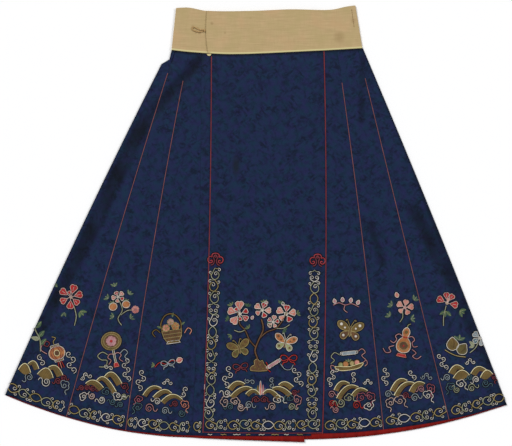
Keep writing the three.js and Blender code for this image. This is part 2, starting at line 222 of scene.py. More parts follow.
flower = times(times(flower, petals), step(tree, chance[1], 0.2, 0.6, 0.0, 0.75))
woven = most(figure, flower)
ground = blend(tree, step(tree, grain(tree, cloth_uv, 16), 0.35, 0.65), "#1d2248", "#132a42")
colour = blend(tree, woven, ground, "#070e20")
middle, reach = [tuple(c * MM for c in size) for size in (MARK_MIDDLE, MARK_REACH)]
near = length_of(mapped(tree, position(tree), Location=middle, Scale=reach))
colour = blend(tree, step(tree, near, 1.0, 0.3, 0.0, MARK_DEEP), colour, "#14191f")
# Painted shade: the darkest colour, used in the folds and in the line under the band.
deep = blend(tree, 0.8, colour, "#03050b")
painted_light_and_shade = node(tree, "ShaderNodeAttribute", attribute_name="painted_light_and_shade").outputs["Fac"]
colour = blend(tree, painted_light_and_shade, deep, colour)
tree.links.new(colour, bsdf.inputs["Base Color"])
bump(tree, bsdf, woven, 0.12)
print("Damask sprigs lie about", SPRIG_CELL, "mm apart, and its flowers", SPOT_CELL, "mm")

# %% [markdown]
# ## Plain silks
# The lining is a thin glossy red silk, and the piping and bindings are strips of a bluer red, cut on the bias
# and folded. Both are plain weaves. Their threads are far finer than a pixel, so soft streaks stand for them.

# %% Plain silks
STREAK_LONG = 4  # length of a streak as a share of its width


def plain_silk(name, low, high, roughness, streak_mm):
    made, tree, bsdf = material(name, roughness, Specular_IOR_Level=0.12)
    streaks = mapped(tree, position(tree), Scale=(1, STREAK_LONG, 1))
    threads = grain(tree, streaks, streak_mm, 3.0)
    tree.links.new(blend(tree, step(tree, threads, 0.3, 0.7), low, high), bsdf.inputs["Base Color"])
    bump(tree, bsdf, threads, 0.15)
    return made


lining_silk = plain_silk("red lining silk", "#6c0d09", "#86140e", 0.6, 9)
piping_silk = plain_silk("red piping silk", "#63262d", "#7a343a", 0.7, 5)
gore_piping_silk = plain_silk("washed-out red piping silk", "#674044", "#825355", 0.7, 5)
print("Plain silks:", lining_silk.name, "/", piping_silk.name, "/", gore_piping_silk.name)

# %% [markdown]
# ## Undyed cotton
# The band is handwoven cotton: its weft runs across, with thicker slubs here and there, and it has turned
# patchy with wear. Stretched noise draws both, and a few small brown stains sit where the photo shows them.
# Four of the marks, under the button loop, are painted shadow of the loop.
# The slubs are drawn 2.6 mm wide, coarser than the real 0.6 mm, so that some of them survive at this size.

# %% Undyed cotton
# The last four rows lie under the button loop and are painted shadow of it.
STAINS_AND_LOOP_SHADOW = [  # x, y, size in millimetres, and how deep
    (-96.8, 441.1, 5.0, 0.35), (-68.2, 420.2, 3.4, 0.30), (183.0, 411.0, 16.0, 0.30),
    (214.0, 447.0, 7.0, 0.25), (-12.0, 452.0, 4.0, 0.14), (-124.0, 421.0, 5.0, 0.4),
    (-132.0, 423.0, 5.0, 0.4), (-139.0, 434.0, 4.0, 0.4), (-128.0, 431.0, 4.0, 0.25),
]
THREAD_SIZE = 2.6
WEFT_THIN, WARP_THIN = 0.08, 0.12  # width of a slub as a share of its length
CLOUDY_SIZE = 38
BAND_LEVEL = 5  # height of the band's outer face, in millimetres
PLY_SLANT, PLY_WAVE = 0.8, 9

cotton, tree, bsdf = material("undyed cotton", 0.85, Specular_IOR_Level=0.15, Sheen_Weight=0.1)
place = position(tree)
weft = grain(tree, mapped(tree, place, Scale=(1 / WEFT_THIN, 1, 1)), THREAD_SIZE, 3.0)
warp = grain(tree, mapped(tree, place, Scale=(1, 1 / WARP_THIN, 1)), THREAD_SIZE, 2.0)
cloudy = grain(tree, place, CLOUDY_SIZE, 2.0)
colour = blend(tree, step(tree, weft, 0.3, 0.7), "#b0986f", "#bea57b")
colour = blend(tree, step(tree, warp, 0.35, 0.75, 0.0, 0.3), colour, "#a78e66")
colour = blend(tree, step(tree, cloudy, 0.42, 0.66, 0.0, 0.6), colour, "#ad9b6c")
colour = blend(tree, step(tree, cloudy, 0.46, 0.3, 0.0, 0.6), colour, "#bc9c73")
# Brown stains, and the painted shadow under the loop.
for x, y, size, deep in STAINS_AND_LOOP_SHADOW:
    near = vectors(tree, "DISTANCE", place, (x * MM, y * MM, BAND_LEVEL * MM), output="Value")
    colour = blend(tree, step(tree, near, size * MM, 0.3 * size * MM, 0.0, deep), colour, "#7a5c36")
painted_light_and_shade = node(tree, "ShaderNodeAttribute", attribute_name="painted_light_and_shade").outputs["Fac"]
# Paler below 1: a painted highlight along the band's turned lower edge; the corner also runs paler downwards.
colour = blend(tree, step(tree, painted_light_and_shade, 0.0, 1.0, 0.85, 0.0), colour, "#d2c993")
# Darker brown above 1: a painted shade line along the band's top edge, and a brown line at its outer end.
colour = blend(tree, step(tree, painted_light_and_shade, 1.0, 2.0), colour, "#7f6a3c")
tree.links.new(colour, bsdf.inputs["Base Color"])
bump(tree, bsdf, weft, 0.2)


def twisted(name, low, high):
    """A cord of two plies: its twist shows as slanting bands."""
    made, tree, bsdf = material(name, 0.8, Specular_IOR_Level=0.2)
    turned = mapped(tree, position(tree), Rotation=(0, 0, -PLY_SLANT))
    plies = node(tree, "ShaderNodeTexWave", {"Vector": turned, "Scale": 1 / (PLY_WAVE * MM)}).outputs["Fac"]
    tree.links.new(blend(tree, plies, low, high), bsdf.inputs["Base Color"])
    bump(tree, bsdf, plies, 0.3)
    return made


loop_cotton = twisted("brown twisted cotton", "#9c7c4e", "#c5a370")
brown_thread = twisted("brown sewing thread", "#6e5230", "#83653c")
print("Cotton with", len(STAINS_AND_LOOP_SHADOW), "stains")

# %% [markdown]
# ## Embroidery silks
# The needlework uses soft floss in many shades. Floss is glossy along its length, and hand dyeing makes it
# uneven, so each shade wanders between two colours. Outlines are couched: a thick thread is laid on the cloth
# and tied down with tiny stitches. A dark matte silk gives the painted shadow beside them.

# %% Embroidery silks
SHADES = {
    "ivory": ("#aca8a1", "#d2cec5"),
    "straw": ("#c9be8c", "#e6dcae"),
    "vine_sage": ("#757a62", "#a1a38a"),
    "vine_gold": ("#7e7043", "#a39366"),
    "gold": ("#56451f", "#70592b"),
    "old_gold": ("#4d4420", "#5f552b"),
    "brown": ("#4a3220", "#684729"),
    "pale_blue": ("#6f7c84", "#959ea2"),
    "teal": ("#2f4a58", "#48686f"),
    "rose": ("#8e5d66", "#b18786"),
    "blush": ("#9a8480", "#c2aca2"),
    "mauve": ("#7c3f50", "#9a5563"),
    "coral": ("#a85f53", "#c68d7d"),
    "orange": ("#8c5229", "#ab7448"),
    "red": ("#8a1518", "#a62726"),
    "crimson": ("#84252f", "#a33b45"),
    "dull_red": ("#5f2230", "#7a2f38"),
    "leaf": ("#294236", "#47603c"),
    "lime": ("#757a4a", "#9a9b72"),
}
FLOSS = 2.2  # how far apart the stitches are drawn, in millimetres
FLOSS_SLANT = 0.5


def floss(name, low, high):
    made, tree, bsdf = material("embroidery silk, " + name.replace("_", " "), 0.5, Specular_IOR_Level=0.3)
    place = position(tree)
    turned = mapped(tree, place, Rotation=(0, 0, -FLOSS_SLANT))
    stitches = node(tree, "ShaderNodeTexWave", {"Vector": turned, "Scale": 1 / (FLOSS * 6.28 * MM),
                                                "Distortion": 1.5}).outputs["Fac"]
    uneven = step(tree, grain(tree, place, 14), 0.3, 0.7)
    shade = blend(tree, step(tree, stitches, 0.0, 1.0, 0.0, 0.35), blend(tree, uneven, low, high), low)
    tree.links.new(shade, bsdf.inputs["Base Color"])
    bump(tree, bsdf, stitches, 0.2)
    return made


threads = {name: floss(name, *pair) for name, pair in SHADES.items()}
# Painted shadow: the matte dark silk of the strips laid beside the threads.
painted_shadow_silk, tree, bsdf = material("silk with painted shadow beside the stitches", 0.9, Specular_IOR_Level=0.05)
uneven = step(tree, grain(tree, position(tree), 6), 0.3, 0.7)
tree.links.new(blend(tree, uneven, "#110f13", "#191619"), bsdf.inputs["Base Color"])
print("Embroidery silks:", ", ".join(threads))

# %% [markdown]
# ## Floor and light
# Textiles are lit from both sides, so that every fold has a soft lit side and a soft dark one. Two broad suns
# and a pale sky do that here; a single lamp would leave one side of every fold black. The floor is plain.

# %% Floor and light
SKY = 0.42
SUN_ANGLE = 24
FLOOR_HALF = 4
SUNS = [
    {"name": "key", "from": (-0.62, 0.62, 0.80), "light": 0.40},
    {"name": "fill", "from": (0.80, 0.15, 0.70), "light": 0.24},
]
world = bpy.data.worlds.new("studio")
world.use_nodes = True
world.node_tree.nodes["Background"].inputs["Color"].default_value = linear("#f6f6f8")
world.node_tree.nodes["Background"].inputs["Strength"].default_value = SKY
bpy.context.scene.world = world
for sun in SUNS:
    lamp = bpy.data.objects.new(sun["name"], bpy.data.lights.new(sun["name"], "SUN"))
    direction = Vector(sun["from"]).normalized()
    lamp.data.energy = sun["light"] * math.pi / direction.z
    lamp.data.angle = math.radians(SUN_ANGLE)
    lamp.rotation_euler = direction.to_track_quat("Z", "Y").to_euler()
    bpy.context.scene.collection.objects.link(lamp)


def add_object(name, mesh, finish):
    """A new object of a mesh in one material."""
    mesh.name = name
    mesh.materials.clear()
    mesh.materials.append(finish)
    made = bpy.data.objects.new(name, mesh)
    bpy.context.scene.collection.objects.link(made)
    return made


def mesh_of(bm):
    """A new mesh of what was modelled, which is then let go."""
    mesh = bpy.data.meshes.new("mesh")
    bm.to_mesh(mesh)
    bm.free()
    return mesh


paper, tree, bsdf = material("white paper floor", 0.9, Specular_IOR_Level=0.1)
bsdf.inputs["Base Color"].default_value = linear("#fcfcfc")
bm = bmesh.new()
bmesh.ops.create_grid(bm, x_segments=1, y_segments=1, size=FLOOR_HALF)
add_object("floor", mesh_of(bm), paper)
print("Lights:", [sun["name"] for sun in SUNS])

# %% [markdown]
# ## The cut of the skirt
# A gored skirt is drawn as lines from waist to hem. Each line bows a little, so three sizes give it: its
# place at the waist, halfway down and at the hem. The edges that run across are short tables with a smooth
# curve through them. All are in millimetres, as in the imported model.

# %% Lines and edges
SILK = 1.2
COTTON = 1.8
SEAM_GAP = 0.3
PLY = SILK + SEAM_GAP
BAND_PLY = COTTON + SEAM_GAP
LINING_PLY = 0.9
STEP_NEAR, STEP_FAR = 4, 24  # how a layer comes down past the free edge of the one beneath it
LINES = {
    "left_fold": (-192.5, -379.5, -552.2),
    "left_outer": (-178.2, -302.7, -416.9),
    "left_inner": (-148.1, -224.4, -286.7),
    "under_seam": (-120.8, -125.2, -140.6),
    "under_free": (125.4, 127.6, 121.0),
    "front_free": (-97.9, -102.7, -116.6),
    "front_seam": (149.6, 154.0, 146.3),
    "right_inner": (178.9, 234.3, 280.5),
    "right_outer": (224.4, 323.8, 424.6),
    "right_fold": (235.4, 398.2, 552.2),
    "back_over_seam": (-129.6, -136.4, -157.3),
    "back_over_free": (107.8, 112.2, 106.7),
    "back_under_free": (-94.6, -99.0, -114.4),
}
WAIST_EDGE = [(-186, 382.8), (-145, 378.4), (-57, 373.4), (75, 378.0), (234, 386.8)]
BAND_TOP = [(-174, 475.2), (-148, 476.2), (-108, 468.8), (-13, 468.4), (75, 471.9), (163, 471.2),
            (200, 478.5), (219, 480.8)]
LEFT_FRONT_HEM = [(-552.2, -374.0), (-497.2, -396.2), (-418.0, -422.8), (-312.4, -449.2), (-211.2, -462.0),
                  (-140.8, -465.3), (-35.2, -466.4), (121.0, -466.0)]
LEFT_BACK_HEM = [(-552.2, -376.9), (-497.2, -398.8), (-418.0, -425.4), (-312.4, -452.0), (-211.2, -466.4),
                 (-140.8, -470.4), (-35.2, -475.2), (121.0, -480.8)]
RIGHT_FRONT_HEM = [(-116.6, -458.6), (-35.2, -460.2), (106.7, -460.8), (195.8, -459.4), (277.2, -452.3),
                   (374.0, -439.2), (468.6, -420.6), (552.2, -396.4)]
RIGHT_BACK_HEM = [(-116.6, -470.0), (-35.2, -473.0), (106.7, -474.3), (195.8, -471.2), (277.2, -463.4),
                  (374.0, -447.7), (468.6, -424.4), (552.2, -398.6)]
NOTCH_WAIST, NOTCH_DEEP = 6.6, 12  # how far the left fold is pulled in below the band
NOTCH_FULL, NOTCH_ENDS = 0.026, 0.04


def lerp(a, b, t):
    return a + (b - a) * t


def ramp(x, low, high):
    return min(max((x - low) / (high - low), 0.0), 1.0)


def smooth(x, low, high):
    t = ramp(x, low, high)
    return t * t * (3 - 2 * t)


def parts_of(count):
    """Shares from 0 to 1 in even steps."""
    return [i / count for i in range(count + 1)]


def along(edge, x):
    """Y of an edge at x, on a smooth curve through its points."""
    i = next((i for i in range(1, len(edge)) if edge[i][0] > x), len(edge) - 1) - 1

    def slope(j):
        (x0, y0), (x1, y1) = edge[max(j - 1, 0)], edge[min(j + 1, len(edge) - 1)]
        return (y1 - y0) / (x1 - x0)

    (x0, y0), (x1, y1) = edge[i], edge[i + 1]
    t = (x - x0) / (x1 - x0)
    lead = t * (1 - t) * (x1 - x0)
    return y0 + t * t * (3 - 2 * t) * (y1 - y0) + lead * ((1 - t) * slope(i) - t * slope(i + 1))


def line_x(name, level):
    """X of a line at a level, from 0 at the waist to 1 at the hem."""
    waist, middle, hem = LINES[name]
    bow = 2 * (waist + hem - 2 * middle)
    pulled = lerp(NOTCH_WAIST, NOTCH_DEEP, ramp(level, 0, NOTCH_FULL))
    notch = pulled * (1 - ramp(level, NOTCH_FULL, NOTCH_ENDS)) if name == "left_fold" else 0
    return waist + (hem - waist - bow) * level + bow * level * level + notch


def drop(hem, level, top_x, hem_x):
    """Y at a level, for cloth that hangs from top_x at the waist to hem_x at the hem."""
    return lerp(along(WAIST_EDGE, top_x) - SEAM_GAP, along(hem, hem_x), level)


print("Width at the hem:", line_x("right_fold", 1) - line_x("left_fold", 1), "mm")

# %% [markdown]
# ## Layers, folds and small waves
# The front lies on the back with a little air between them, each layer steps down past the free edge of the
# one beneath it, and a few soft troughs run in from the sides. The layers are all worked out from one set of
# functions, so none cuts through the next. A cloth simulation could drape them, but it would move the edges
# off their packed places. Small waves, made by a fixed noise, keep the silk from looking like card.

# %% Heights of the layers
AIR, AIR_EDGE = 1.8, 34
AIR_TOP, AIR_BOTTOM, AIR_CLOSED = 0.06, 0.9, 0.99
HEM_LIFT_FROM, HEM_LIFT_TO = 0.9, 0.945
TROUGHS = [  # from x, y to x, y, then width and depth
    (-122, 366, -167, 312, 20, 1.5),
    (-167, 312, -235, 236, 22, 1.2),
    (222, 372, 243, 306, 18, 1.1),
    (268, -2, 280, -92, 14, 0.7),
    (328, 70, 420, -108, 22, 1.2),
    (420, -108, 477, -240, 22, 1.0),
]


def from_stretch(x0, y0, x1, y1, x, y):
    """How far a point is from the straight stretch between two others."""
    dx, dy = x1 - x0, y1 - y0
    t = ramp((x - x0) * dx + (y - y0) * dy, 0, dx * dx + dy * dy)
    return math.hypot(x - x0 - t * dx, y - y0 - t * dy)


def puff(x, y, level):
    from_folds = min(x - line_x("left_fold", level), line_x("right_fold", level) - x)
    closing = ramp(level, AIR_BOTTOM, AIR_CLOSED)
    room = smooth(from_folds, 0, AIR_EDGE) * ramp(level, 0, AIR_TOP) * (1 - closing)
    sunk = sum(deep * (1 - smooth(from_stretch(*ends, x, y), 0, wide)) for *ends, wide, deep in TROUGHS)
    return room * max(AIR - sunk, 0)


def climb(line, x, level):
    return ramp(x, line_x(line, level) - STEP_FAR, line_x(line, level) - STEP_NEAR)


def descend(line, x, level):
    return ramp(x, line_x(line, level) + STEP_NEAR, line_x(line, level) + STEP_FAR)


def on_table(x, y, level):
    return 0


def on_back_under(x, y, level):
    return PLY * climb("back_under_free", x, level)


def lifted(level):
    return LINING_PLY * ramp(level, HEM_LIFT_FROM, HEM_LIFT_TO)


def front_under(x, y, level):
    backs = climb("back_under_free", x, level) - descend("back_over_free", x, level)
    return PLY * (1 + backs) + lifted(level) + puff(x, y, level)


def front_over(x, y, level):
    return front_under(x, y, level) + PLY * (1 - descend("under_free", x, level))


WAVES = [  # height, width, length, lean, and the noise's own place
    (0.55, 150, 210, 0, 3.1),
    (0.22, 34, 120, 0.5, 7.7),
    (0.10, 19, 26, 0, 1.9),
]


def waves(x, y):
    """Small waves of the silk, in millimetres. The same at every layer, so that layers stay apart."""
    return sum(high * noise.noise(Vector(((x + lean * y) / wide, (y - lean * x) / long, seed)))
               for high, wide, long, lean, seed in WAVES)


print("Front panel lies", round(front_over(0, 0, 0.5), 1), "mm above the table at the middle")

# %% [markdown]
# ## Silk panels
# Each panel starts as a flat grid from `bmesh.ops.create_grid`, and its points are moved to the cut of the
# skirt. A Solidify modifier gives it thickness on its hidden side. Beside a seam the cloth dips, because the
# stitches pull it in. The side gores turn round the fold and run back under the skirt.

# %% Helpers for cloth
CLOTH_WALL = 0.8  # silk with its lining
UNDERSIDE = 0.4  # the back cloth's outer face, which leaves room for its embroidery
COLUMN = 8
FRONT_ROWS, UNDER_ROWS = 105, 52
PATTERN_SHIFT = 3.7  # moves the damask of each piece by its own way
UNDER_BAND = [0, 0.0015, 0.004, 0.008]  # close rows where the shadow of the band lies
SEAM_DIP, SEAM_DIP_WIDE = 0.35, 6
skins = {"front": [], "under": []}  # the cloth on top and the cloth on the floor, for the embroidery
CREASE_SHADE = [  # painted shade along troughs and creases: from x, y to x, y, then width and how dark
    (-122, 366, -167, 312, 19, 1.0),
    (-167, 312, -235, 236, 21, 1.0),
    (-235, 236, -262, 182, 19, 1.0),
    (235, 367, 231, 229, 10, 0.6),
    (250, 2, 280, -88, 13, 0.7),
    (345, 34, 420, -108, 22, 1.0),
    (420, -108, 477, -240, 18, 0.8),
]
# Widths of the bands of painted shade beside the folds. The right one grows downwards.
LEFT_SHADE_BAND, RIGHT_SHADE_BAND = 30, (7, 25)
# Painted shade right at the fold edges: full within the first distance in mm, gone at the second.
FOLD_RIM_SHADE = (1, 3.4)


def spread(width):
    """Shares across a piece: even, with two close columns at each edge."""
    count = max(2, round(width / COLUMN))
    inner = [i / count for i in range(1, count)]
    return sorted({0, 2 / width, 5 / width, *inner, 1 - 5 / width, 1 - 2 / width, 1})


def place_between(left, right, hem, share, level, trim_left=0.0, trim_right=0.0):
    """X and Y at a share of the way from one line to another. Trims keep clear of the lines."""
    def across(at):
        return lerp(line_x(left, at) + trim_left, line_x(right, at) - trim_right, share)

    return across(level), drop(hem, level, across(0), across(1))


def levels_down(rows):
    """Levels from the waist to the hem, close together under the band."""
    return [*UNDER_BAND, *(i / rows for i in range(2, rows + 1))]


def cloth_piece(name, shares, levels, place, finish, wall, painted_light_and_shade=lambda at, level: 1.0, flip=False,
                shift=0.0):
    """A sheet of cloth. place(share, level) gives a point of its outer face in millimetres."""
    bm = bmesh.new()
    across, rows = len(shares) - 1, len(levels) - 1
    bmesh.ops.create_grid(bm, x_segments=across, y_segments=rows, size=0.5)
    # Each point keeps a value for painted shade and painted highlight, which its material reads.
    tone = bm.verts.layers.float.new("painted_light_and_shade")
    for vert in bm.verts:
        share = shares[round((vert.co.x + 0.5) * across)]
        level = levels[round((0.5 - vert.co.y) * rows)]
        vert.co = place(share, level)
        vert[tone] = painted_light_and_shade(vert.co, level)
    if flip:
        bmesh.ops.reverse_faces(bm, faces=bm.faces)
    uv = bm.loops.layers.uv.new("cloth")
    tilt = place(0.5, 1) - place(0.5, 0)
    lean = math.atan2(tilt.x, -tilt.y)
    for face in bm.faces:
        for loop in face.loops:
            x, y = loop.vert.co.x, loop.vert.co.y
            grain_x = x * math.cos(lean) + y * math.sin(lean)
            grain_y = y * math.cos(lean) - x * math.sin(lean)
            loop[uv].uv = ((grain_x + shift) * MM, (grain_y + 1.7 * shift) * MM)
        face.smooth = True
    bmesh.ops.scale(bm, vec=(MM, MM, MM), verts=bm.verts)
    skin = BVHTree.FromBMesh(bm)
    piece = add_object(name, mesh_of(bm), finish)
    shell = piece.modifiers.new("wall", "SOLIDIFY")
    shell.thickness = wall * MM
    shell.offset = -1
    return piece, skin


def put_in(piece, slot, *nodes):
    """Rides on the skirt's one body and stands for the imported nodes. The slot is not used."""
    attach(piece, "root")
    if nodes:
        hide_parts(*nodes)
    return piece


def cut_area(left, right, length):
    """Flat area of a piece between two lines, in square metres."""
    levels = parts_of(20)
    width = sum(abs(line_x(right, level) - line_x(left, level)) for level in levels) / len(levels)
    return width * MM * length * MM


def painted_fold_shade(at, level):
    """1 on plain cloth, lower where painted shade darkens troughs, folds and fold edges, and where a painted
    shadow lies under the band.
    """
    x, y = at.x, at.y
    deep = 0.0
    # Painted shade along each trough and crease.
    for *ends, wide, strength in CREASE_SHADE:
        deep = max(deep, strength * (1 - smooth(from_stretch(*ends, x, y), 0.2 * wide, wide)))
    # Painted shade in a band beside the left fold, and beside the right fold.
    left = x - line_x("left_fold", level)
    left_wide = LEFT_SHADE_BAND * (1 - 0.35 * smooth(level, 0.5, 0.8))
    band = smooth(left, 3, 0.4 * left_wide) * (1 - smooth(left, left_wide, 1.5 * left_wide))
    deep = max(deep, band * smooth(level, 0.12, 0.26) * (1 - 0.6 * smooth(level, 0.75, 0.9)))
    right = line_x("right_fold", level) - x
    right_wide = lerp(*RIGHT_SHADE_BAND, smooth(level, 0.35, 0.6)) * (1 - 0.4 * smooth(level, 0.85, 0.98))
    deep = max(deep, 0.9 * (1 - smooth(right, 0.2 * right_wide, right_wide)))
    # The painted shade is stronger in some places than in others.
    patchy = 0.75 + 0.5 * noise.noise(Vector((x / 30, y / 45, 5.0)))
    # Painted shade right at the fold edges, and a painted shadow of the band across the top rows.
    rim = 1 - smooth(min(left, right), *FOLD_RIM_SHADE)
    return 1 - max(min(deep * patchy, 1.0), rim, 1 - smooth(level, 0.0015, 0.008))


print("Cloth is drawn in steps of", COLUMN, "mm")

# %% [markdown]
# ## Front and back panels
# Each half skirt has two broad panels and four flat gores, and each hangs between two lines. One sheet with
# painted seams would be quicker, but separate pieces let the damask break at every seam, as on the real
# skirt.

# %% Front and back panels
def panel(node_name, left, right, layer, hem, side, seams):
    """One panel between two lines. seams says which of its two long edges are sewn and dip."""
    under = side == "under"
    width = abs(line_x(right, 1) - line_x(left, 1))

    def place(share, level):
        x, y = place_between(left, right, hem, share, level)
        y += SEAM_GAP * (1 - level)
        if under:
            return Vector((x, y, layer(x, y, level) + UNDERSIDE))
        dip = 0
        if seams[0]:
            dip += 1 - smooth(x - line_x(left, level), 0, SEAM_DIP_WIDE)
        if seams[1]:
            dip += 1 - smooth(line_x(right, level) - x, 0, SEAM_DIP_WIDE)
        return Vector((x, y, layer(x, y, level) + SILK + waves(x, y) - SEAM_DIP * min(dip, 1)))

    # The cloth on the floor side is plain; the front takes the painted fold shade.
    painted_shade_at = (lambda at, level: 1.0) if under else painted_fold_shade
    levels = levels_down(UNDER_ROWS if under else FRONT_ROWS)
    piece, skin = cloth_piece("silk_" + node_name, spread(width), levels, place, silk, CLOTH_WALL, painted_shade_at,
                              under, LINES[left][2] * PATTERN_SHIFT)
    put_in(piece, "silk_damask", node_name)
    length = (place(0.5, 0) - place(0.5, 1)).length
    cut_area(left, right, length)
    return piece, skin


PANELS = [
    ("gore_left_2", "left_outer", "left_inner", front_under, LEFT_FRONT_HEM, "front"),
    ("gore_left_1", "left_inner", "under_seam", front_under, LEFT_FRONT_HEM, "front"),
    ("front_panel_under", "under_seam", "under_free", front_under, LEFT_FRONT_HEM, "front"),
    ("gore_left_4", "left_outer", "left_inner", on_table, LEFT_BACK_HEM, "under"),
    ("gore_left_5", "left_inner", "back_over_seam", on_table, LEFT_BACK_HEM, "under"),
    ("back_panel_over", "back_over_seam", "back_over_free", on_back_under, LEFT_BACK_HEM, "under"),
    ("gore_right_2", "right_inner", "right_outer", front_under, RIGHT_FRONT_HEM, "front"),
    ("gore_right_1", "front_seam", "right_inner", front_under, RIGHT_FRONT_HEM, "front"),
    ("front_panel", "front_free", "front_seam", front_over, RIGHT_FRONT_HEM, "front"),
    ("gore_right_4", "right_inner", "right_outer", on_table, RIGHT_BACK_HEM, "under"),
    ("gore_right_5", "front_seam", "right_inner", on_table, RIGHT_BACK_HEM, "under"),
    ("back_panel", "back_under_free", "front_seam", on_table, RIGHT_BACK_HEM, "under"),
]
FREE_EDGES = {"front_panel": (False, True), "front_panel_under": (True, False)}
panels = {}
for node_name, left, right, layer, hem, side in PANELS:
    sewn = FREE_EDGES.get(node_name, (True, True))
    panels[node_name], skin = panel(node_name, left, right, layer, hem, side, sewn)
    skins[side].append(skin)
print("Panels and gores:", len(panels))

# %% [markdown]
# ## Side gores
# The widest gore on each side wraps the fold, so that one piece shows at the front and at the back. Its grid
# runs from the front seam to the fold, round a small half circle, and back to the seam beneath. Two sheets
# that meet at the fold would show a line there, where real cloth runs on.

# %% Side gores
ROLL_HIGH, ROLL_WIDE = 1.3, 16
# Above FRONT_ABOVE the side gore takes the painted fold shade; below it, one slightly darker tone.
FRONT_ABOVE, BACK_TONE = 2, 0.8
TURN_STEPS = 6


def side_gore(node_name, fold, seam, way, front_hem, back_hem):
    width = abs(line_x(fold, 1) - line_x(seam, 1))
    flat = spread(width)
    count = len(flat)
    last = 2 * count + TURN_STEPS - 2

    def place(share, level):
        index = round(share * last)
        top_z = PLY + SILK + lifted(level) + ROLL_HIGH
        radius = (top_z - UNDERSIDE) / 2
        start = line_x(fold, level) - way * radius
        seam_x = line_x(seam, level)

        def at(part, hem):
            x = lerp(seam_x, start, part)
            part_of_all = (x - line_x(fold, level)) / (seam_x - line_x(fold, level))
            top = lerp(line_x(fold, 0), line_x(seam, 0), part_of_all)
            low = lerp(line_x(fold, 1), line_x(seam, 1), part_of_all)
            return x, drop(hem, level, top, low) + SEAM_GAP * (1 - level)

        if index < count:
            x, y = at(flat[index], front_hem)
            roll = ROLL_HIGH * (1 - smooth(abs(x - start), 0, ROLL_WIDE))
            room = smooth(abs(x - start), 0, ROLL_WIDE)
            dip = SEAM_DIP * (1 - smooth(abs(x - seam_x), 0, SEAM_DIP_WIDE))
            z = PLY + SILK + lifted(level) + (puff(x, y, level) + waves(x, y)) * room + roll - dip
            return Vector((x, y, z))
        if index < count + TURN_STEPS - 1:
            angle = math.pi * (index - count + 1) / TURN_STEPS
            y = lerp(at(1, front_hem)[1], at(1, back_hem)[1], angle / math.pi)
            return Vector((start + way * radius * math.sin(angle), y,
                           UNDERSIDE + radius * (1 + math.cos(angle))))
        x, y = at(flat[last - index], back_hem)
        return Vector((x, y, UNDERSIDE))

    # Painted fold shade on the front; one slightly darker tone on the part beneath.
    def painted_shade_at(at, level):
        return painted_fold_shade(at, level) if at.z > FRONT_ABOVE else BACK_TONE

    levels = sorted({*levels_down(FRONT_ROWS), NOTCH_FULL, NOTCH_ENDS})
    piece, skin = cloth_piece("silk_" + node_name, parts_of(last), levels, place, silk, CLOTH_WALL, painted_shade_at,
                              way < 0, LINES[seam][2] * PATTERN_SHIFT)
    put_in(piece, "silk_damask", node_name)
    length = (place(0, 0) - place(0, 1)).length
    2 * cut_area(fold, seam, length)
    for side in skins.values():
        side.append(skin)
    return piece


panels["gore_left_side"] = side_gore("gore_left_side", "left_fold", "left_outer", -1, LEFT_FRONT_HEM,
                                     LEFT_BACK_HEM)
panels["gore_right_side"] = side_gore("gore_right_side", "right_fold", "right_outer", 1, RIGHT_FRONT_HEM,
                                      RIGHT_BACK_HEM)
print("Silk pieces in all:", len(panels))

# %% [markdown]
# ## Lining
# The back hangs a little lower than the front, so its red lining shows below the front hem. The real lining
# covers the whole inside, but only the two strips that can be seen are made.

# %% Lining strips
LINING_WALL = 0.6
LINING_STARTS = 0.95
LINING_ROWS = 6
FOLD_TRIM, EDGE_TRIM = 5, 0.15  # how far it stops before a fold and before the free edge


def lining(node_name, left, right, trim_left, trim_right, height, hem):
    width = line_x(right, 1) - line_x(left, 1)

    def place(share, v):
        level = lerp(LINING_STARTS, 1, v)
        x, y = place_between(left, right, hem, share, level, trim_left, trim_right)
        ripple = 0.2 * noise.noise(Vector((x / 17, y / 40, 2.2)))
        return Vector((x, y, height(x, y, level) + LINING_WALL + ripple))

    piece = cloth_piece("silk_" + node_name, spread(width), parts_of(LINING_ROWS), place, lining_silk,
                        LINING_WALL)[0]
    put_in(piece, "silk_lining", node_name)
    deep = (place(0.5, 0) - place(0.5, 1)).length


lining("lining_left", "left_fold", "back_over_free", FOLD_TRIM, EDGE_TRIM,
       lambda x, y, level: on_back_under(x, y, level) + PLY, LEFT_BACK_HEM)
lining("lining_right", "back_over_free", "right_fold", EDGE_TRIM, FOLD_TRIM, lambda x, y, level: PLY,
       RIGHT_BACK_HEM)
print("Lining shows as two strips")

# %% [markdown]
# ## Cords: piping, bindings and couched threads
# Anything that is a cord is drawn as a curve with a round section. Many runs share one curve object, and it
# is then turned into a mesh, so that its place is in the mesh. Piping is a folded strip with a cord in it,
# which stands up along the seam.

# %% Helpers for cords
SEAM_PARTS, HEM_PARTS = 210, 66


def cords_to_mesh(name, runs, finish):
    """One mesh of many cords. A run is (points in mm, width in mm)."""
    curve = bpy.data.curves.new(name, "CURVE")
    curve.dimensions = "3D"
    curve.bevel_depth = 0.5 * MM
    curve.bevel_resolution = 1
    curve.use_fill_caps = True
    for points, wide in runs:
        spline = curve.splines.new("POLY")
        spline.points.add(len(points) - 1)
        for i, (x, y, z) in enumerate(points):
            spline.points[i].co = (x * MM, y * MM, z * MM, 1)
            spline.points[i].radius = wide
    drawn = bpy.data.objects.new(name + "_curve", curve)
    bpy.context.scene.collection.objects.link(drawn)
    depsgraph = bpy.context.evaluated_depsgraph_get()
    mesh = bpy.data.meshes.new_from_object(drawn.evaluated_get(depsgraph))
    bpy.data.objects.remove(drawn)
    mesh.shade_smooth()
    return add_object(name, mesh, finish)


def seam_run(line, hem, start, layer, rise):
    """Points down a seam, on top of the cloth."""
    points = []
    for share in parts_of(SEAM_PARTS):
        level = lerp(start, 1, share)
        x = line_x(line, level)
        y = drop(hem, level, line_x(line, 0), line_x(line, 1))
        points.append((x, y, layer(x, y, level) + SILK + waves(x, y) + rise))
    return points


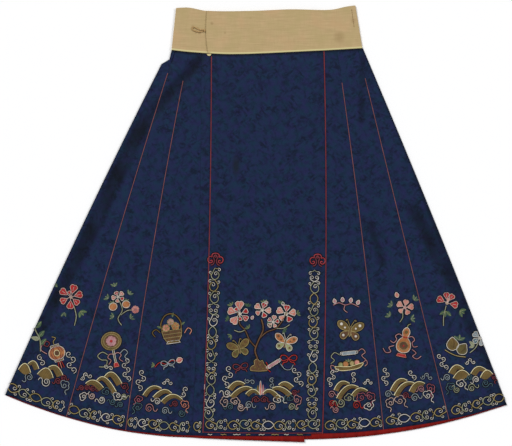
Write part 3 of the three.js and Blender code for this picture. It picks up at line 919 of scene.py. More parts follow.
# %% [markdown]
# ## Piping and bindings
# The front seam and four gore seams are piped, and the front panel's free edge and hem are bound with the
# same silk. Flat strips could stand for them, but a round cord catches the light along its length, as real
# piping does.

# %% Piping and bindings
PIPINGS = [  # node, line, hem, start level, width, silk
    ("piping_front_seam", "front_seam", RIGHT_FRONT_HEM, 0.002, 2.5, piping_silk),
    ("piping_left_outer", "left_outer", LEFT_FRONT_HEM, 0.062, 1.7, gore_piping_silk),
    ("piping_left_inner", "left_inner", LEFT_FRONT_HEM, 0.076, 1.7, gore_piping_silk),
    ("piping_right_inner", "right_inner", RIGHT_FRONT_HEM, 0.087, 1.7, gore_piping_silk),
    ("piping_right_outer", "right_outer", RIGHT_FRONT_HEM, 0.08, 1.7, gore_piping_silk),
]
PIPING_UP = 0.25
for node_name, line, hem, start, wide, finish in PIPINGS:
    run = seam_run(line, hem, start, front_under, PIPING_UP)
    put_in(cords_to_mesh("silk_" + node_name, [(run, wide)], finish), "silk_binding", node_name)

EDGE_BINDING, HEM_BINDING = 2.5, 2.0
BINDING_SUNK, HEM_BINDING_UP = 0.35, 1.2  # how far a binding's middle lies below the cloth, and above its hem
edge = seam_run("front_free", RIGHT_FRONT_HEM, 0.007, front_over, -BINDING_SUNK)
put_in(cords_to_mesh("silk_binding_front_edge", [(edge, EDGE_BINDING)], piping_silk), "silk_binding",
       "binding_front_edge")
hem_edge = []
for share in parts_of(HEM_PARTS):
    x = lerp(line_x("front_free", 1), line_x("front_seam", 1), share)
    y = along(RIGHT_FRONT_HEM, x) + HEM_BINDING_UP
    hem_edge.append((x, y, front_over(x, y, 1) + SILK - BINDING_SUNK + waves(x, y)))
put_in(cords_to_mesh("silk_binding_front_hem", [(hem_edge, HEM_BINDING)], piping_silk), "silk_binding",
       "binding_front_hem")
print("Piped seams:", len(PIPINGS), "and two bound edges")

# %% [markdown]
# ## The waistband
# The band is one long strip wrapped once and a half round. Its section is a flat spiral: the outer front, the
# right fold, the back, the left fold, and the hidden end behind the front. The same grid and thickness make
# it. Its lower edge is turned in and is painted paler as a highlight, and a painted shade darkens its top edge.

# %% Waistband
BAND_LEFT = (-185.9, -176.0)  # at the lower edge, at the upper edge
BAND_RIGHT = (234.3, 218.9)
BAND_OUTER_END = (-105.6, -107.8)
BAND_END_BOW = 3.3
BAND_INNER_END = 125.4
# Rows from the top to the bottom, close together at the folded top edge and at the turned lower edge.
BAND_LEVELS = [0, 0.012, 0.03, *(i / 16 for i in range(1, 15)), 0.93, 0.955, 0.965, 0.985, 1]
OUTER_LAYER = 4.5  # above this height lies only the band's outer layer
TURNED_IN = 3
BAND_END_COLUMNS = (0, 1.1, 2.6)  # close columns at the outer end, in millimetres


def band_path(height):
    """Points round the band's outer face at a height, from 0 at its lower edge to 1 at its upper one."""
    radius = (COTTON + BAND_PLY + ROLL_HIGH) / 2
    right = lerp(*BAND_RIGHT, height) - radius
    left = lerp(*BAND_LEFT, height) + radius
    end = lerp(*BAND_OUTER_END, height) - BAND_END_BOW * 4 * height * (1 - height)
    near, far = BAND_INNER_END + STEP_NEAR, BAND_INNER_END + STEP_FAR
    inner_z = COTTON + BAND_PLY

    def evenly(a, b, count):
        return [lerp(a, b, i / count) for i in range(count)]

    def turn(x, way):
        angles = [math.pi * share for share in parts_of(TURN_STEPS)[1:-1]]
        return [(x + way * radius * math.sin(angle),
                 radius * (1 + way * math.cos(angle))) for angle in angles]

    path = []
    for x in [*(end + x for x in BAND_END_COLUMNS), *evenly(end, near, 26)[1:], *evenly(near, far, 3),
              *evenly(far, right, 10), right]:
        roll = ROLL_HIGH * (1 - smooth(abs(x - right), 0, ROLL_WIDE))
        path.append((x, inner_z + BAND_PLY * (1 - ramp(x, near, far)) + roll))
    path += turn(right, 1)
    path += [(x, 0.0) for x in [*evenly(right, left, 30), left]]
    path += turn(left, -1)
    for x in [*evenly(left, BAND_INNER_END, 30), BAND_INNER_END]:
        roll = ROLL_HIGH * (1 - smooth(abs(x - left), 0, ROLL_WIDE))
        path.append((x, inner_z + roll))
    return path


band_low, band_high = band_path(0), band_path(1)
band_columns = len(band_low)


def band_place(share, v):
    height = 1 - v
    index = round(share * (band_columns - 1))
    x, z = band_path(height)[index]
    y = lerp(along(WAIST_EDGE, band_low[index][0]) - 0.4 * SEAM_GAP, along(BAND_TOP, band_high[index][0]),
             height)
    soft = 0.0 if z < 0.01 else 0.25 * noise.noise(Vector((x / 22, y / 60, 4.4)))
    edge = 0.3 * (smooth(v, 0.93, 0.97) - smooth(v, 0.975, 1.0) * 2)
    return Vector((x, y, z + soft + (edge if z > 1 else 0)))


def band_painted_light(at, v):
    """0 on the turned lower edge, made pale as a painted highlight; over 1 on the top edge's painted shade line
    and the brown line at the outer end; 1 elsewhere.
    """
    end = lerp(*BAND_OUTER_END, 1 - v) - BAND_END_BOW * 4 * v * (1 - v)
    if at.z > OUTER_LAYER and abs(at.x - end) < 1:
        return 1.4
    if v < 0.01:
        return 1.5
    turned_in = at.z > OUTER_LAYER and abs(at.x - end) < TURNED_IN
    return 1 - smooth(v, 0.955, 0.965) * (0.25 if turned_in else 1)


band, band_skin = cloth_piece("cotton_waistband", parts_of(band_columns - 1), BAND_LEVELS, band_place, cotton,
                              COTTON - 0.1, band_painted_light)
put_in(band, "natural_cotton", "waistband")
band_length = sum(math.dist(a, b) for a, b in zip(band_low, band_low[1:]))

CORNER_LEFT, CORNER_RIGHT, CORNER_DEEP = -108.8, -98.6, 4.8
CORNER_TOP, CORNER_Z = along(WAIST_EDGE, -98.4) - 2 * SEAM_GAP, 3 * PLY + 1.3
CORNER_WALL = 1.1


def corner_place(share, v):
    x = lerp(CORNER_LEFT + 2.2 * v, CORNER_RIGHT - 0.7 * v ** 3, share)
    sag = v * (1 - 0.3 * abs(2 * share - 1) ** 3)
    return Vector((x, CORNER_TOP - CORNER_DEEP * sag, CORNER_Z + 0.15 * math.sin(math.pi * share)))


# The corner's colour runs paler towards its lower edge.
corner = cloth_piece("cotton_band_corner", parts_of(6), parts_of(5), corner_place, cotton, CORNER_WALL,
                     lambda at, v: 0.7 - 0.65 * smooth(v, 0.2, 0.6))[0]
put_in(corner, "natural_cotton", "band_corner")
print("The band is", round(band_length), "mm long")

# %% [markdown]
# ## Small things on the band
# The band's outer end carries a button loop of twisted cord, whose two ends are sewn into a knot. A row of
# brown stitches closes the band near its right end. All of them are curves, because a thread keeps its
# thickness however it bends.

# %% Loop, knot and stitches
CORD = 2.4
LOOP_Z = COTTON + BAND_PLY + SEAM_GAP + CORD / 2
LOOP = [(-115.8, 426.8), (-121.4, 427.0), (-126.6, 428.2), (-131.2, 430.6), (-135.2, 432.8), (-138.6, 432.6),
        (-140.4, 430.0), (-139.4, 427.2), (-136.2, 425.2), (-131.6, 423.6), (-126.6, 422.6), (-121.4, 422.8),
        (-115.8, 424.2)]


def between(p, q, r, s, t):
    """A point on the smooth curve from q to r, where p comes before them and s after them."""
    return tuple(
        0.5 * (2 * b + (c - a) * t + (2 * a - 5 * b + 4 * c - d) * t * t + (3 * b - a - 3 * c + d) * t ** 3)
        for a, b, c, d in zip(p, q, r, s))


def rounded(points, parts=6):
    """More points on a smooth curve through the given ones."""
    ends = [points[0], *points, points[-1]]
    fours = zip(ends, ends[1:], ends[2:], ends[3:])
    return [*(between(*four, i / parts) for four in fours for i in range(parts)), points[-1]]


loop_path = [(x, y, LOOP_Z) for x, y in rounded(LOOP)]
loop = cords_to_mesh("cotton_loop_cord", [(loop_path, CORD)], loop_cotton)
put_in(loop, "twisted_cord", "loop_cord")
loop_length = sum(math.dist(a, b) for a, b in zip(loop_path, loop_path[1:]))

KNOT = (-112.9, 425.4, 5.7)
KNOT_TURNS = 4
KNOT_HALF = (1.5, 2.3, 0.7)
KNOT_CORD = 1.5
winding = []
for share in parts_of(KNOT_TURNS * 12):
    angle = 2 * math.pi * KNOT_TURNS * share
    winding.append((KNOT[0] + KNOT_HALF[0] * math.cos(angle),
                    KNOT[1] + lerp(-KNOT_HALF[1], KNOT_HALF[1], share),
                    KNOT[2] + KNOT_HALF[2] * math.sin(angle)))
knot = cords_to_mesh("cotton_band_knot", [(winding, KNOT_CORD)], loop_cotton)
put_in(knot, "twisted_cord", "band_knot")
Vector(loop_path[0]) * MM
[Vector(p) * MM for p in loop_path]

STITCH, STITCH_GAP = 3.4, 1.6
ROW_LOW, ROW_HIGH = (216.0, 432.0), (210.6, 472.0)
stitches = []
y = ROW_HIGH[1]
while y > ROW_LOW[1]:
    x = lerp(ROW_LOW[0], ROW_HIGH[0], (y - ROW_LOW[1]) / (ROW_HIGH[1] - ROW_LOW[1]))
    top = band_skin.ray_cast(Vector((x, y, 50)) * MM, Vector((0, 0, -1)))[0]
    if top:
        stitches.append(([(x, y, top.z / MM), (x + 0.2, y - STITCH / 2, top.z / MM + 0.2),
                          (x + 0.3, y - STITCH, top.z / MM)], 0.9))
    y -= STITCH + STITCH_GAP
put_in(cords_to_mesh("band_stitches", stitches, brown_thread), "twisted_cord")
print("Loop cord:", round(loop_length), "mm;", len(stitches), "stitches")

# %% [markdown]
# ## Needlework: laying threads on the cloth
# Motifs are drawn in their own flat millimetres, at a spot with a turn and a size. When a side is finished,
# every point looks for the cloth beneath it with a ray, so the threads follow the waves and stop at the
# folds. Outlines are thick threads sunk halfway, and fillings are low padded patches. Painted ones would be
# quicker, but real stitches stand up and catch the light.

# %% Helpers for needlework
PIXEL = 2.2  # millimetres of cloth in one pixel of the photo
THREAD = 2.0
RIM = 1.4
PADDING = 0.45
work = {"cords": [], "patches": []}


def spot(px, py, turn=0.0, size=1.0):
    """A place to draw at, from a position in the photo's pixels: x, y, turn, size."""
    return (px - 256) * PIXEL, (224 - py) * PIXEL, math.radians(turn), size


def on(place, points):
    x, y, turn, size = place
    c, s = math.cos(turn) * size, math.sin(turn) * size
    return [(x + c * u - s * v, y + s * u + c * v) for u, v in points]


def within(place, u, v, turn=0.0, size=1.0):
    """A spot inside another spot."""
    x, y = on(place, [(u, v)])[0]
    return x, y, place[2] + math.radians(turn), place[3] * size


def cord(place, points, shade, wide=THREAD, lift=0.0):
    work["cords"].append((on(place, points), shade, wide, lift))


def patch(place, outline, shade, rim=None, lift=0.0, wide=RIM):
    work["patches"].append((on(place, outline), shade, lift))
    if rim:
        cord(place, [*outline, outline[0], outline[1]], rim, wide, lift + PADDING - 0.1)


def loop_round(points, parts=4):
    """A smooth closed outline through the points."""
    count = len(points)
    fours = [[points[(i + k) % count] for k in (-1, 0, 1, 2)] for i in range(count)]
    return [between(*four, j / parts) for four in fours for j in range(parts)]


def oval(u, v, wide, high, count=14):
    angles = [2 * math.pi * i / count for i in range(count)]
    return [(u + wide * math.cos(a), v + high * math.sin(a)) for a in angles]


def spiral(u, v, radius, start, turns, inner=0.22):
    """From the outside in. start is in degrees, and negative turns run clockwise."""
    points = []
    for t in parts_of(max(6, round(abs(turns) * 12))):
        angle = math.radians(start) + 2 * math.pi * turns * t
        reach = radius * (1 - (1 - inner) * t)
        points.append((u + reach * math.cos(angle), v + reach * math.sin(angle)))
    return points


print("A thread is", THREAD, "mm wide and an outline", RIM, "mm")

# %% [markdown]
# ## Scroll border
# The border is made of units 25 mm long: four kinds of scroll, each turned over or not, with small curls
# inside and outside. It changes shade along its way, as if the embroiderer threaded whatever came next. One
# unit repeated would look printed, so the four kinds follow each other in a fixed, uneven order.

# %% Scroll border
UNIT = 25
CURL_INNER = 0.32  # a curl's innermost radius, as a share of its outer one
FLAT = (0.0, 0.0, 0.0, 1.0)  # for points that are already in place
COLUMN_SHADES = ("vine_sage", "ivory", "vine_sage", "vine_sage", "vine_gold", "vine_sage", "vine_gold")
HEM_SHADES = ("vine_gold", "vine_sage", "vine_gold", "vine_sage", "vine_gold", "ivory", "vine_gold",
              "vine_sage")


def both(points, curl):
    """A strand and its mirror image."""
    s, t, radius, start, turns = curl or (0, 0, 0, 0, 0)
    return [(points, curl), ([(u, -v) for u, v in points], curl and (s, -t, radius, -start, -turns))]


# The strands of each unit: their points in mm along and across, then the centre, radius, start and turns of
# the curl that ends them. A strand without a curl runs on.
SCROLLS = {
    "lens": [
        *both([(0, 0), (4, 5.5), (10, 8.3), (16, 8), (21, 4.6), (25, 0)], None),
        *both([(6.5, 7.4), (6.2, 9)], (2.8, 9.8, 3.4, 0, 0.85)),
    ],
    "scroll": [
        ([(0, 0), (1, 5), (5, 9.2), (11, 10), (16.5, 8), (18.6, 3.6)], (14.2, 2.6, 4.6, 12, -0.95)),
        ([(0, 0), (4, -5.2), (11, -8.4), (18, -6), (25, 0)], None),
        ([(14.5, -7.8), (17.4, -8)], (20.8, -9.2, 3.4, 160, 0.9)),
        ([(25, 0), (24, 4.5), (25, 8)], (21.4, 9.4, 3.6, -10, 0.9)),
    ],
    "wave": [
        ([(0, 0), (3, 5), (9, 7.6), (15, 4.6), (20, 2.4), (25, 0)], None),
        ([(0, 0), (2, -5), (7.5, -9.2), (14, -8.6), (17.2, -4.4)], (13, -3, 4.3, -12, 0.95)),
        ([(9, 7.6), (13, 9.6)], (16, 9.6, 3.0, 170, -0.9)),
        ([(25, 0), (24, -4.5), (25, -8)], (21.4, -9.4, 3.6, 10, -0.9)),
    ],
    "horns": [
        *both([(0, 0), (1.6, 4.6), (5.5, 8.8), (9.5, 9)], (8.4, 5, 4.2, 65, -0.95)),
        *both([(25, 0), (21.8, 3.4), (21.4, 7)], (17.6, 8.8, 3.7, 0, 0.95)),
    ],
}
ORDER = (("scroll", 1), ("wave", 1), ("lens", 1), ("scroll", -1), ("horns", 1), ("wave", -1), ("scroll", 1),
         ("lens", -1), ("wave", 1), ("horns", -1), ("scroll", -1))


def border(path, first, shades, curl_shade, wide, fine):
    """A double scroll along a path of points, with its curls in a shade and a width of their own."""
    lengths = [0.0]
    for a, b in zip(path, path[1:]):
        lengths.append(lengths[-1] + math.dist(a, b))
    units = max(1, round(lengths[-1] / UNIT))
    stretch = lengths[-1] / (units * UNIT)

    def at(s, t):
        s = min(max(s, 0.0), lengths[-1] - 0.001)
        i = next(i for i in range(len(path) - 1) if lengths[i + 1] > s)
        (x0, y0), (x1, y1) = path[i], path[i + 1]
        share = (s - lengths[i]) / (lengths[i + 1] - lengths[i])
        dx, dy = (x1 - x0) / math.dist(path[i], path[i + 1]), (y1 - y0) / math.dist(path[i], path[i + 1])
        return lerp(x0, x1, share) - dy * t, lerp(y0, y1, share) + dx * t

    for k in range(units):
        kind, way = ORDER[(k + first) % len(ORDER)]
        for rank, (points, curl) in enumerate(SCROLLS[kind]):
            shade = shades[(k + first + rank // 2) % len(shades)]
            strands = [(rounded([(float(s), way * t) for s, t in points], 3), shade)]
            if curl:
                s, t, radius, start, turns = curl
                rolled = spiral(s, way * t, radius, way * start, way * turns, CURL_INNER)
                strands.append((strands[0][0][-1:] + rolled, curl_shade))
            for thread, own in strands:
                laid = [at((k * UNIT + s) * stretch, t) for s, t in thread]
                cord(FLAT, laid, own, wide if rank < 2 and thread is strands[0][0] else fine)


print("Border units of", UNIT, "mm")

# %% [markdown]
# ## Cloud heads, clouds and hills
# Clouds are single threads that roll up. The cloud heads close the top of each border column, curled clouds
# run over the hem's border, and over them stand the hills, which are thick arched bars with a straw-coloured
# edge. A few numbers shape each of them, so one function draws every size.

# %% Cloud heads, clouds and hills
CHAIN_ASIDE, CHAIN_RADIUS = 0.32, 0.54  # shares of the way from one curl of a chain to the next
# Points along a bar, width of its straw edge, and how much higher each bar lies than the last.
HILL_PARTS, HILL_EDGE, HILL_RISE = 10, 1.7, 0.14
MOUND_SAG = 7


def ruyi(place):
    """A cloud-shaped head: a top lobe, two shoulders that curl in, and a curl inside each half."""
    for way in (-1, 1):
        outer = [(0, 15), (5, 14), (8, 10.5), (7.5, 6.5), (12, 7.5), (16, 4), (16.5, -1.5), (13, -6),
                 (8.5, -6), (6.5, -3), (8.5, -0.5), (11, -2)]
        inner = [(0, 9.5), (3.6, 8), (4, 4), (2.4, 0), (2.6, -5), (5.5, -10), (10, -11.5)]
        cord(place, rounded([(way * u, v) for u, v in outer], 3), "crimson", 2.5)
        cord(place, rounded([(way * u, v) for u, v in inner], 3), "dull_red", 2.3)
    cord(place, rounded([(0, 12), (-2.6, 9), (0, 6), (2.6, 9), (0, 12)], 3), "dull_red", 2.0)


def cloud(place, radius, way, lobed, shade):
    """A curl whose thread runs out over the top. It has three round lobes about it, or a wave beside it."""
    if lobed:
        radius *= 1.12
        thread = [(way * u, v) for u, v in reversed(spiral(0, 0, 1.06 * radius, 218, 1.25, 0.24))]
        for middle, first, last in ((170, 96, -82), (95, 82, -82), (20, 82, -60)):
            cu, cv = 1.06 * math.cos(math.radians(middle)), 1.06 * math.sin(math.radians(middle))
            for j in range(8):
                angle = math.radians(middle + lerp(first, last, j / 7))
                thread.append((way * radius * (cu + 0.9 * math.cos(angle)),
                               radius * (cv + 0.9 * math.sin(angle))))
        tail = [(1.9, -0.75), (2.3, -1.1), (2.8, -0.95), (3.2, -1.2)]
    else:
        thread = [(way * u, v) for u, v in reversed(spiral(0, 0, 1.2 * radius, 165, 1.3, 0.28))]
        tail = [(-0.9, 1.15), (-0.1, 1.7), (0.95, 1.5), (1.55, 0.7), (1.65, -0.3), (2.1, -1.0), (2.8, -0.9),
                (3.2, -0.1)]
    thread += rounded([thread[-1], *[(way * radius * u, radius * v) for u, v in tail]], 3)
    cord(place, thread, shade, 1.55)


def curl_chain(start, end, count, shade, first=1):
    """Linked curls on alternate sides of a line between two positions in the photo's pixels."""
    (x0, y0), (x1, y1) = spot(*start)[:2], spot(*end)[:2]
    step_x, step_y = (x1 - x0) / (count - 1), (y1 - y0) / (count - 1)
    long = math.hypot(step_x, step_y)
    aside = CHAIN_ASIDE * long
    middles = []
    for k in range(count):
        way = first if k % 2 else -first
        middles.append((x0 + k * step_x - way * aside * step_y / long,
                        y0 + k * step_y + way * aside * step_x / long))
    radius = CHAIN_RADIUS * math.dist(middles[0], middles[1])
    before = (middles[0][0] - step_x, middles[0][1] - step_y)
    for k, (x, y) in enumerate(middles):
        way = first if k % 2 else -first
        start_angle = math.degrees(math.atan2(before[1] - y, before[0] - x))
        curl = spiral(0, 0, radius, start_angle, -1.15 * way, 0.2)
        cord((x, y, 0.0, 1.0), curl, shade, 1.4)
        before = (x, y)


def hill(foot, crest, head, thick, rank=0):
    """An arched bar through three positions in the photo's pixels, or a filled mound where thick is 0.
    A later rank lies over an earlier one."""
    (x0, y0), (x1, y1), (x2, y2) = [spot(*p)[:2] for p in (foot, crest, head)]
    upper, inside, middle, lower = [], [], [], []
    cx, cy = 2 * x1 - (x0 + x2) / 2, 2 * y1 - (y0 + y2) / 2
    for t in parts_of(HILL_PARTS):
        x = (1 - t) ** 2 * x0 + 2 * t * (1 - t) * cx + t * t * x2
        y = (1 - t) ** 2 * y0 + 2 * t * (1 - t) * cy + t * t * y2
        dx, dy = 2 * (1 - t) * (cx - x0) + 2 * t * (x2 - cx), 2 * (1 - t) * (cy - y0) + 2 * t * (y2 - cy)
        size = math.hypot(dx, dy) * (1 if x2 > x0 else -1)
        deep = thick * (1 - 0.5 * t * t)
        upper.append((x, y))
        for line, far in ((inside, HILL_EDGE), (middle, 0.62 * deep), (lower, deep)):
            line.append((x + far * dy / size, y - far * dx / size))
    lift = HILL_RISE * rank
    if thick:
        cord(FLAT, middle[1:-1], "old_gold", 2.6, lift + PADDING - 0.4)
        cord(FLAT, lower, "brown", 1.4, lift + PADDING - 0.2)
    else:
        (x0, y0), (x2, y2) = inside[0], inside[-1]
        lower = [(lerp(x0, x2, t), lerp(y0, y2, t) - MOUND_SAG * math.sin(math.pi * t))
                 for t in parts_of(6)[1:-1]]
    patch(FLAT, [*inside, *reversed(lower)], "gold", None, lift)
    cord(FLAT, upper, "straw", HILL_EDGE, lift + PADDING)


print("Parts of a hill's bar:", HILL_PARTS)

# %% [markdown]
# ## Flowers, leaves and fruit
# Petals, leaves and fruit are padded patches of satin stitch, each with an outline in another shade. A flower
# is one petal turned about its heart.

# %% Flowers, leaves and fruit
def petal(place, long, wide, shade, rim, lift=0.0):
    shape = [(0, 0), (wide * 0.55, long * 0.35), (wide, long * 0.72), (wide * 0.45, long), (0, long * 0.93),
             (-wide * 0.45, long), (-wide, long * 0.72), (-wide * 0.55, long * 0.35)]
    patch(place, loop_round(shape, 2), shade, rim, lift)


def blossom(place, radius, shade, rim, heart="red", petals=5):
    wide = radius * math.sin(math.pi / petals) * 0.86
    for k in range(petals):
        petal(within(place, 0, 0, 360 * k / petals), radius, wide, shade, rim, 0.4)
    patch(place, oval(0, 0, radius * 0.28, radius * 0.28, 8), heart, None, 2 * PADDING)


def open_flower(place, petals, rim, heart):
    """Separate petals on short stems. A row is turn, reach, length, half width, shade."""
    for turn, reach, long, wide, shade in petals:
        single = within(place, 0, 0, turn)
        cord(single, [(0, 0), (0.6, reach * 0.6), (0, reach + 1)], rim, 1.6)
        petal(within(single, 0, reach), long, wide, shade, rim)
        if long > 11:
            cord(single, [(0, reach + long * 0.3), (0, reach + long * 0.75)], rim, 1.2, PADDING)
    patch(place, oval(0, 0, 3.2, 3.2, 10), heart, rim, 0.2, 1.2)


def bud(place, size, shade, rim="ivory"):
    shape = [(0, 0), (size * 0.45, size * 0.5), (0, size * 1.2), (-size * 0.45, size * 0.5)]
    patch(place, loop_round(shape, 3), shade, rim)


def leaf(place, long=11.0, shade="leaf", vein="lime"):
    wide = long * 0.27
    patch(place, loop_round([(0, 0), (wide, long * 0.4), (0, long), (-wide, long * 0.4)], 4), shade)
    cord(place, [(0, 0), (0.3, long * 0.5), (0, long * 0.9)], vein, 0.9, PADDING)


def leaf_spray(place, count=3, long=11.0, shade="leaf", vein="lime", fan_out=80):
    for k in range(count):
        leaf(within(place, 0, 0, fan_out * (k / (count - 1) - 0.5)), long * (1 - 0.15 * (k % 2)), shade, vein)


def sprays(place, rows):
    """Sprays of leaves. A row is u, v, turn, leaves, length, shade, vein and how far they fan out."""
    for u, v, turn, *leaves in rows:
        leaf_spray(within(place, u, v, turn), *leaves)


def orange(place, radius, shade="orange"):
    patch(place, oval(0, 0, radius, radius * 0.92), shade, "ivory")
    leaf_spray(within(place, 0, radius * 0.8), 3, radius * 0.9, "leaf", "lime", 120)


def peach(place, size, shade="gold"):
    shape = [(0, -size), (size * 0.85, -size * 0.55), (size, size * 0.15), (size * 0.5, size * 0.8),
             (0, size * 1.25), (-size * 0.6, size * 0.75), (-size, size * 0.1), (-size * 0.8, -size * 0.6)]
    patch(place, loop_round(shape, 2), shade, "ivory")
    crease = rounded([(0, size * 1.1), (size * 0.3, size * 0.4), (size * 0.1, -size * 0.5)], 3)
    cord(place, crease, "brown", 1.2, PADDING)


print("Flowers, leaves and fruit can be drawn")

# %% [markdown]
# ## Small treasures
# Pictures of fortunate things fill the gores: butterflies, a basket, a fan, a lantern, a gourd. These are
# plain versions of our own, drawn in a few curves each.

# %% Small treasures
def flowing(place, points, shade, wide=1.9):
    cord(place, rounded(points, 4), shade, wide)


def butterfly(place, upper, lower, rim, dots):
    for way in (-1, 1):
        top = [(1.5, 1), (6, 11), (15, 17), (23, 16), (23.5, 9), (18, 3), (9, 0)]
        low = [(1.5, -1), (9, -1.5), (16, -5), (17, -12), (11, -16), (5, -11)]
        patch(place, loop_round([(way * u, v) for u, v in top], 3), upper, rim)
        patch(place, loop_round([(way * u, v) for u, v in low], 3), lower, rim)
        for u, v, size in ((17, 11.5, 2.7), (10, 5.5, 1.8), (11.5, -8.5, 2.4)):
            patch(place, oval(way * u, v, size, size, 8), dots, None, PADDING)
        feeler = [(way * 0.8, 7), (way * 3, 13), (way * 6, 19)]
        cord(place, [*feeler, *[(way * u, v) for u, v in spiral(8, 19, 2.2, 180, -0.8)]], rim, 1.2)
    patch(place, oval(0, -1, 2.1, 9.5, 12), "brown", "vine_gold", 0.2, 1.2)


def basket(place):
    body = [(-17, 3), (-15, -8), (-11, -15), (11, -15), (15, -8), (17, 3)]
    patch(place, body, "brown", "vine_gold")
    for k in range(-3, 4):
        cord(place, [(4.6 * k, 2), (3.6 * k, -14)], "gold", 1.3, PADDING)
    for v in (-3, -9):
        cord(place, [(-15.5, v), (15.5, v)], "vine_gold", 1.3, PADDING + 0.1)
    patch(place, [(-9, -15), (9, -15), (12, -19), (-12, -19)], "gold", "ivory")
    flowing(place, [(-16, 3), (-17, 15), (-10, 27), (0, 31), (10, 27), (17, 15), (16, 3)], "gold", 2.6)
    for u, v, size, shade in ((-9, 8, 6, "coral"), (7, 9, 6.5, "orange"), (0, 17, 5.5, "rose")):
        blossom(within(place, u, v, 20 * u), size, shade, "vine_gold")
    for u, v, turn in ((-17, 9, 60), (17, 10, -60), (-3, 6, 20), (4, 25, -20)):
        leaf(within(place, u, v, turn), 8)


def fan(place):
    patch(place, oval(0, 12, 19, 17, 24), "gold", "vine_gold")
    patch(place, oval(0, 12, 14.5, 12.8, 20), "brown", "vine_gold", 0.15)
    blossom(within(place, 0, 12, 0), 10, "rose", None)
    leaf_spray(within(place, -4, 4, 100), 2, 9, "lime", "vine_gold", 70)
    patch(place, [(-1.8, -5), (1.8, -5), (1.5, -30), (-1.5, -30)], "old_gold", "ivory", 0.1, 1.1)
    for way in (-1, 1):
        tassel = [(0, -14), (way * 8, -12), (way * 13, -18), (way * 8, -24), (way * 14, -31)]
        flowing(place, tassel, "rose", 1.8)
    patch(within(place, 0, -31), [(-3, 1), (3, 1), (5, -7), (-5, -7)], "red", "coral", 0, 1.2)


def lantern(place):
    patch(place, oval(0, 0, 15, 13, 20), "orange", "ivory")
    for half in (6, 11):
        cord(place, oval(0, 0, half, 13, 16), "dull_red", 1.3, PADDING)
    patch(place, oval(0, 0, 5, 5.6, 12), "brown", "straw", PADDING)
    for v in (13.5, -13.5):
        patch(place, [(-8, v - 2), (8, v - 2), (8, v + 2), (-8, v + 2)], "gold", "ivory", 0.1, 1.1)
    flowing(place, [(0, 15), (0, 22), (6, 27), (0, 31)], "vine_gold", 1.6)
    for u in (-5, 0, 5):
        cord(place, [(u * 0.6, -16), (u, -29)], "red" if u else "coral", 1.7)


def gourd(place):
    shape = [(0, 34), (5, 31), (8, 24), (6.5, 17), (5.5, 12), (12, 5), (15.5, -6), (12, -17), (0, -21.5),
             (-12, -17), (-15.5, -6), (-12, 5), (-5.5, 12), (-6.5, 17), (-8, 24), (-5, 31)]
    patch(place, loop_round(shape, 2), "orange", "ivory")
    patch(place, oval(0, -6, 9.5, 9, 16), "brown", "vine_gold", PADDING, 1.2)
    blossom(within(place, 0, -6, 0), 7.5, "coral", None)
    patch(place, oval(0, 24, 3.6, 3.6, 10), "gold", None, PADDING)
    for way in (-1, 1):
        tie = [(way * 4, 12.5), (way * 14, 17), (way * 21, 11), (way * 17, 4), (way * 22, -4), (way * 30, -1)]
        flowing(place, tie, "rose", 2.0)
    cord(place, [(-6, 13), (0, 12), (6, 13)], "red", 2.4, PADDING)
    cord(place, rounded([(0, 34), (1, 40), (6, 43)], 3), "lime", 1.6)
    patch(place, [(-8, -24), (8, -24), (11, -30), (-11, -30)], "red", "coral", 0, 1.3)


def rock(place):
    shape = [(-17, -9), (-16, 0), (-9, 4), (-10, 12), (-3, 17), (3, 11), (8, 14), (12, 5), (17, 0), (18, -9)]
    patch(place, loop_round(shape, 2), "brown", "vine_gold")
    for u, v, size in ((-8, -2, 3.2), (3, 4, 3.0), (9, -4, 2.8), (0, -5, 2.2)):
        patch(place, oval(u, v, size, size * 0.8, 8), "gold", None, PADDING)


def ribbon(place, shade, size=1.0, wide=1.9):
    """A bow with two loops and two tails."""
    small = within(place, 0, 0, 0, size)
    for way in (-1, 1):
        wing = [(0, 0), (way * 7, 6), (way * 15, 6), (way * 17, 0), (way * 12, -5), (way * 5, -3), (0, 0)]
        flowing(small, wing, shade, wide)
        flowing(small, [(0, 0), (way * 4, -7), (way * 11, -9), (way * 13, -14)], shade, wide)


def rolled_scroll(place, shade, rim):
    patch(place, [(-14, -3.4), (14, -3.4), (14, 3.4), (-14, 3.4)], shade, rim)
    for way in (-1, 1):
        cord(place, [(way * u, v) for u, v in spiral(15.5, 0, 3.6, 90, -1.2)], rim, 1.3, 0.2)


print("Treasures can be drawn")

# %% [markdown]
# ## Where hills and clouds stand
# Every panel and gore has its own groups of hills, with clouds of many shades below and short chains of curls
# above. Positions are in the photo's pixels. Chance would be shorter to write, but the real ones were set by
# eye.

# %% Hills, clouds and chains
BORDER_ABOVE = 19  # how far the border's middle lies above the hem


def hem_path(hem, x0, x1):
    xs = [lerp(x0, x1, share) for share in parts_of(max(4, round(abs(x1 - x0) / 12)))]
    return [(x, along(hem, x) + BORDER_ABOVE) for x in xs]


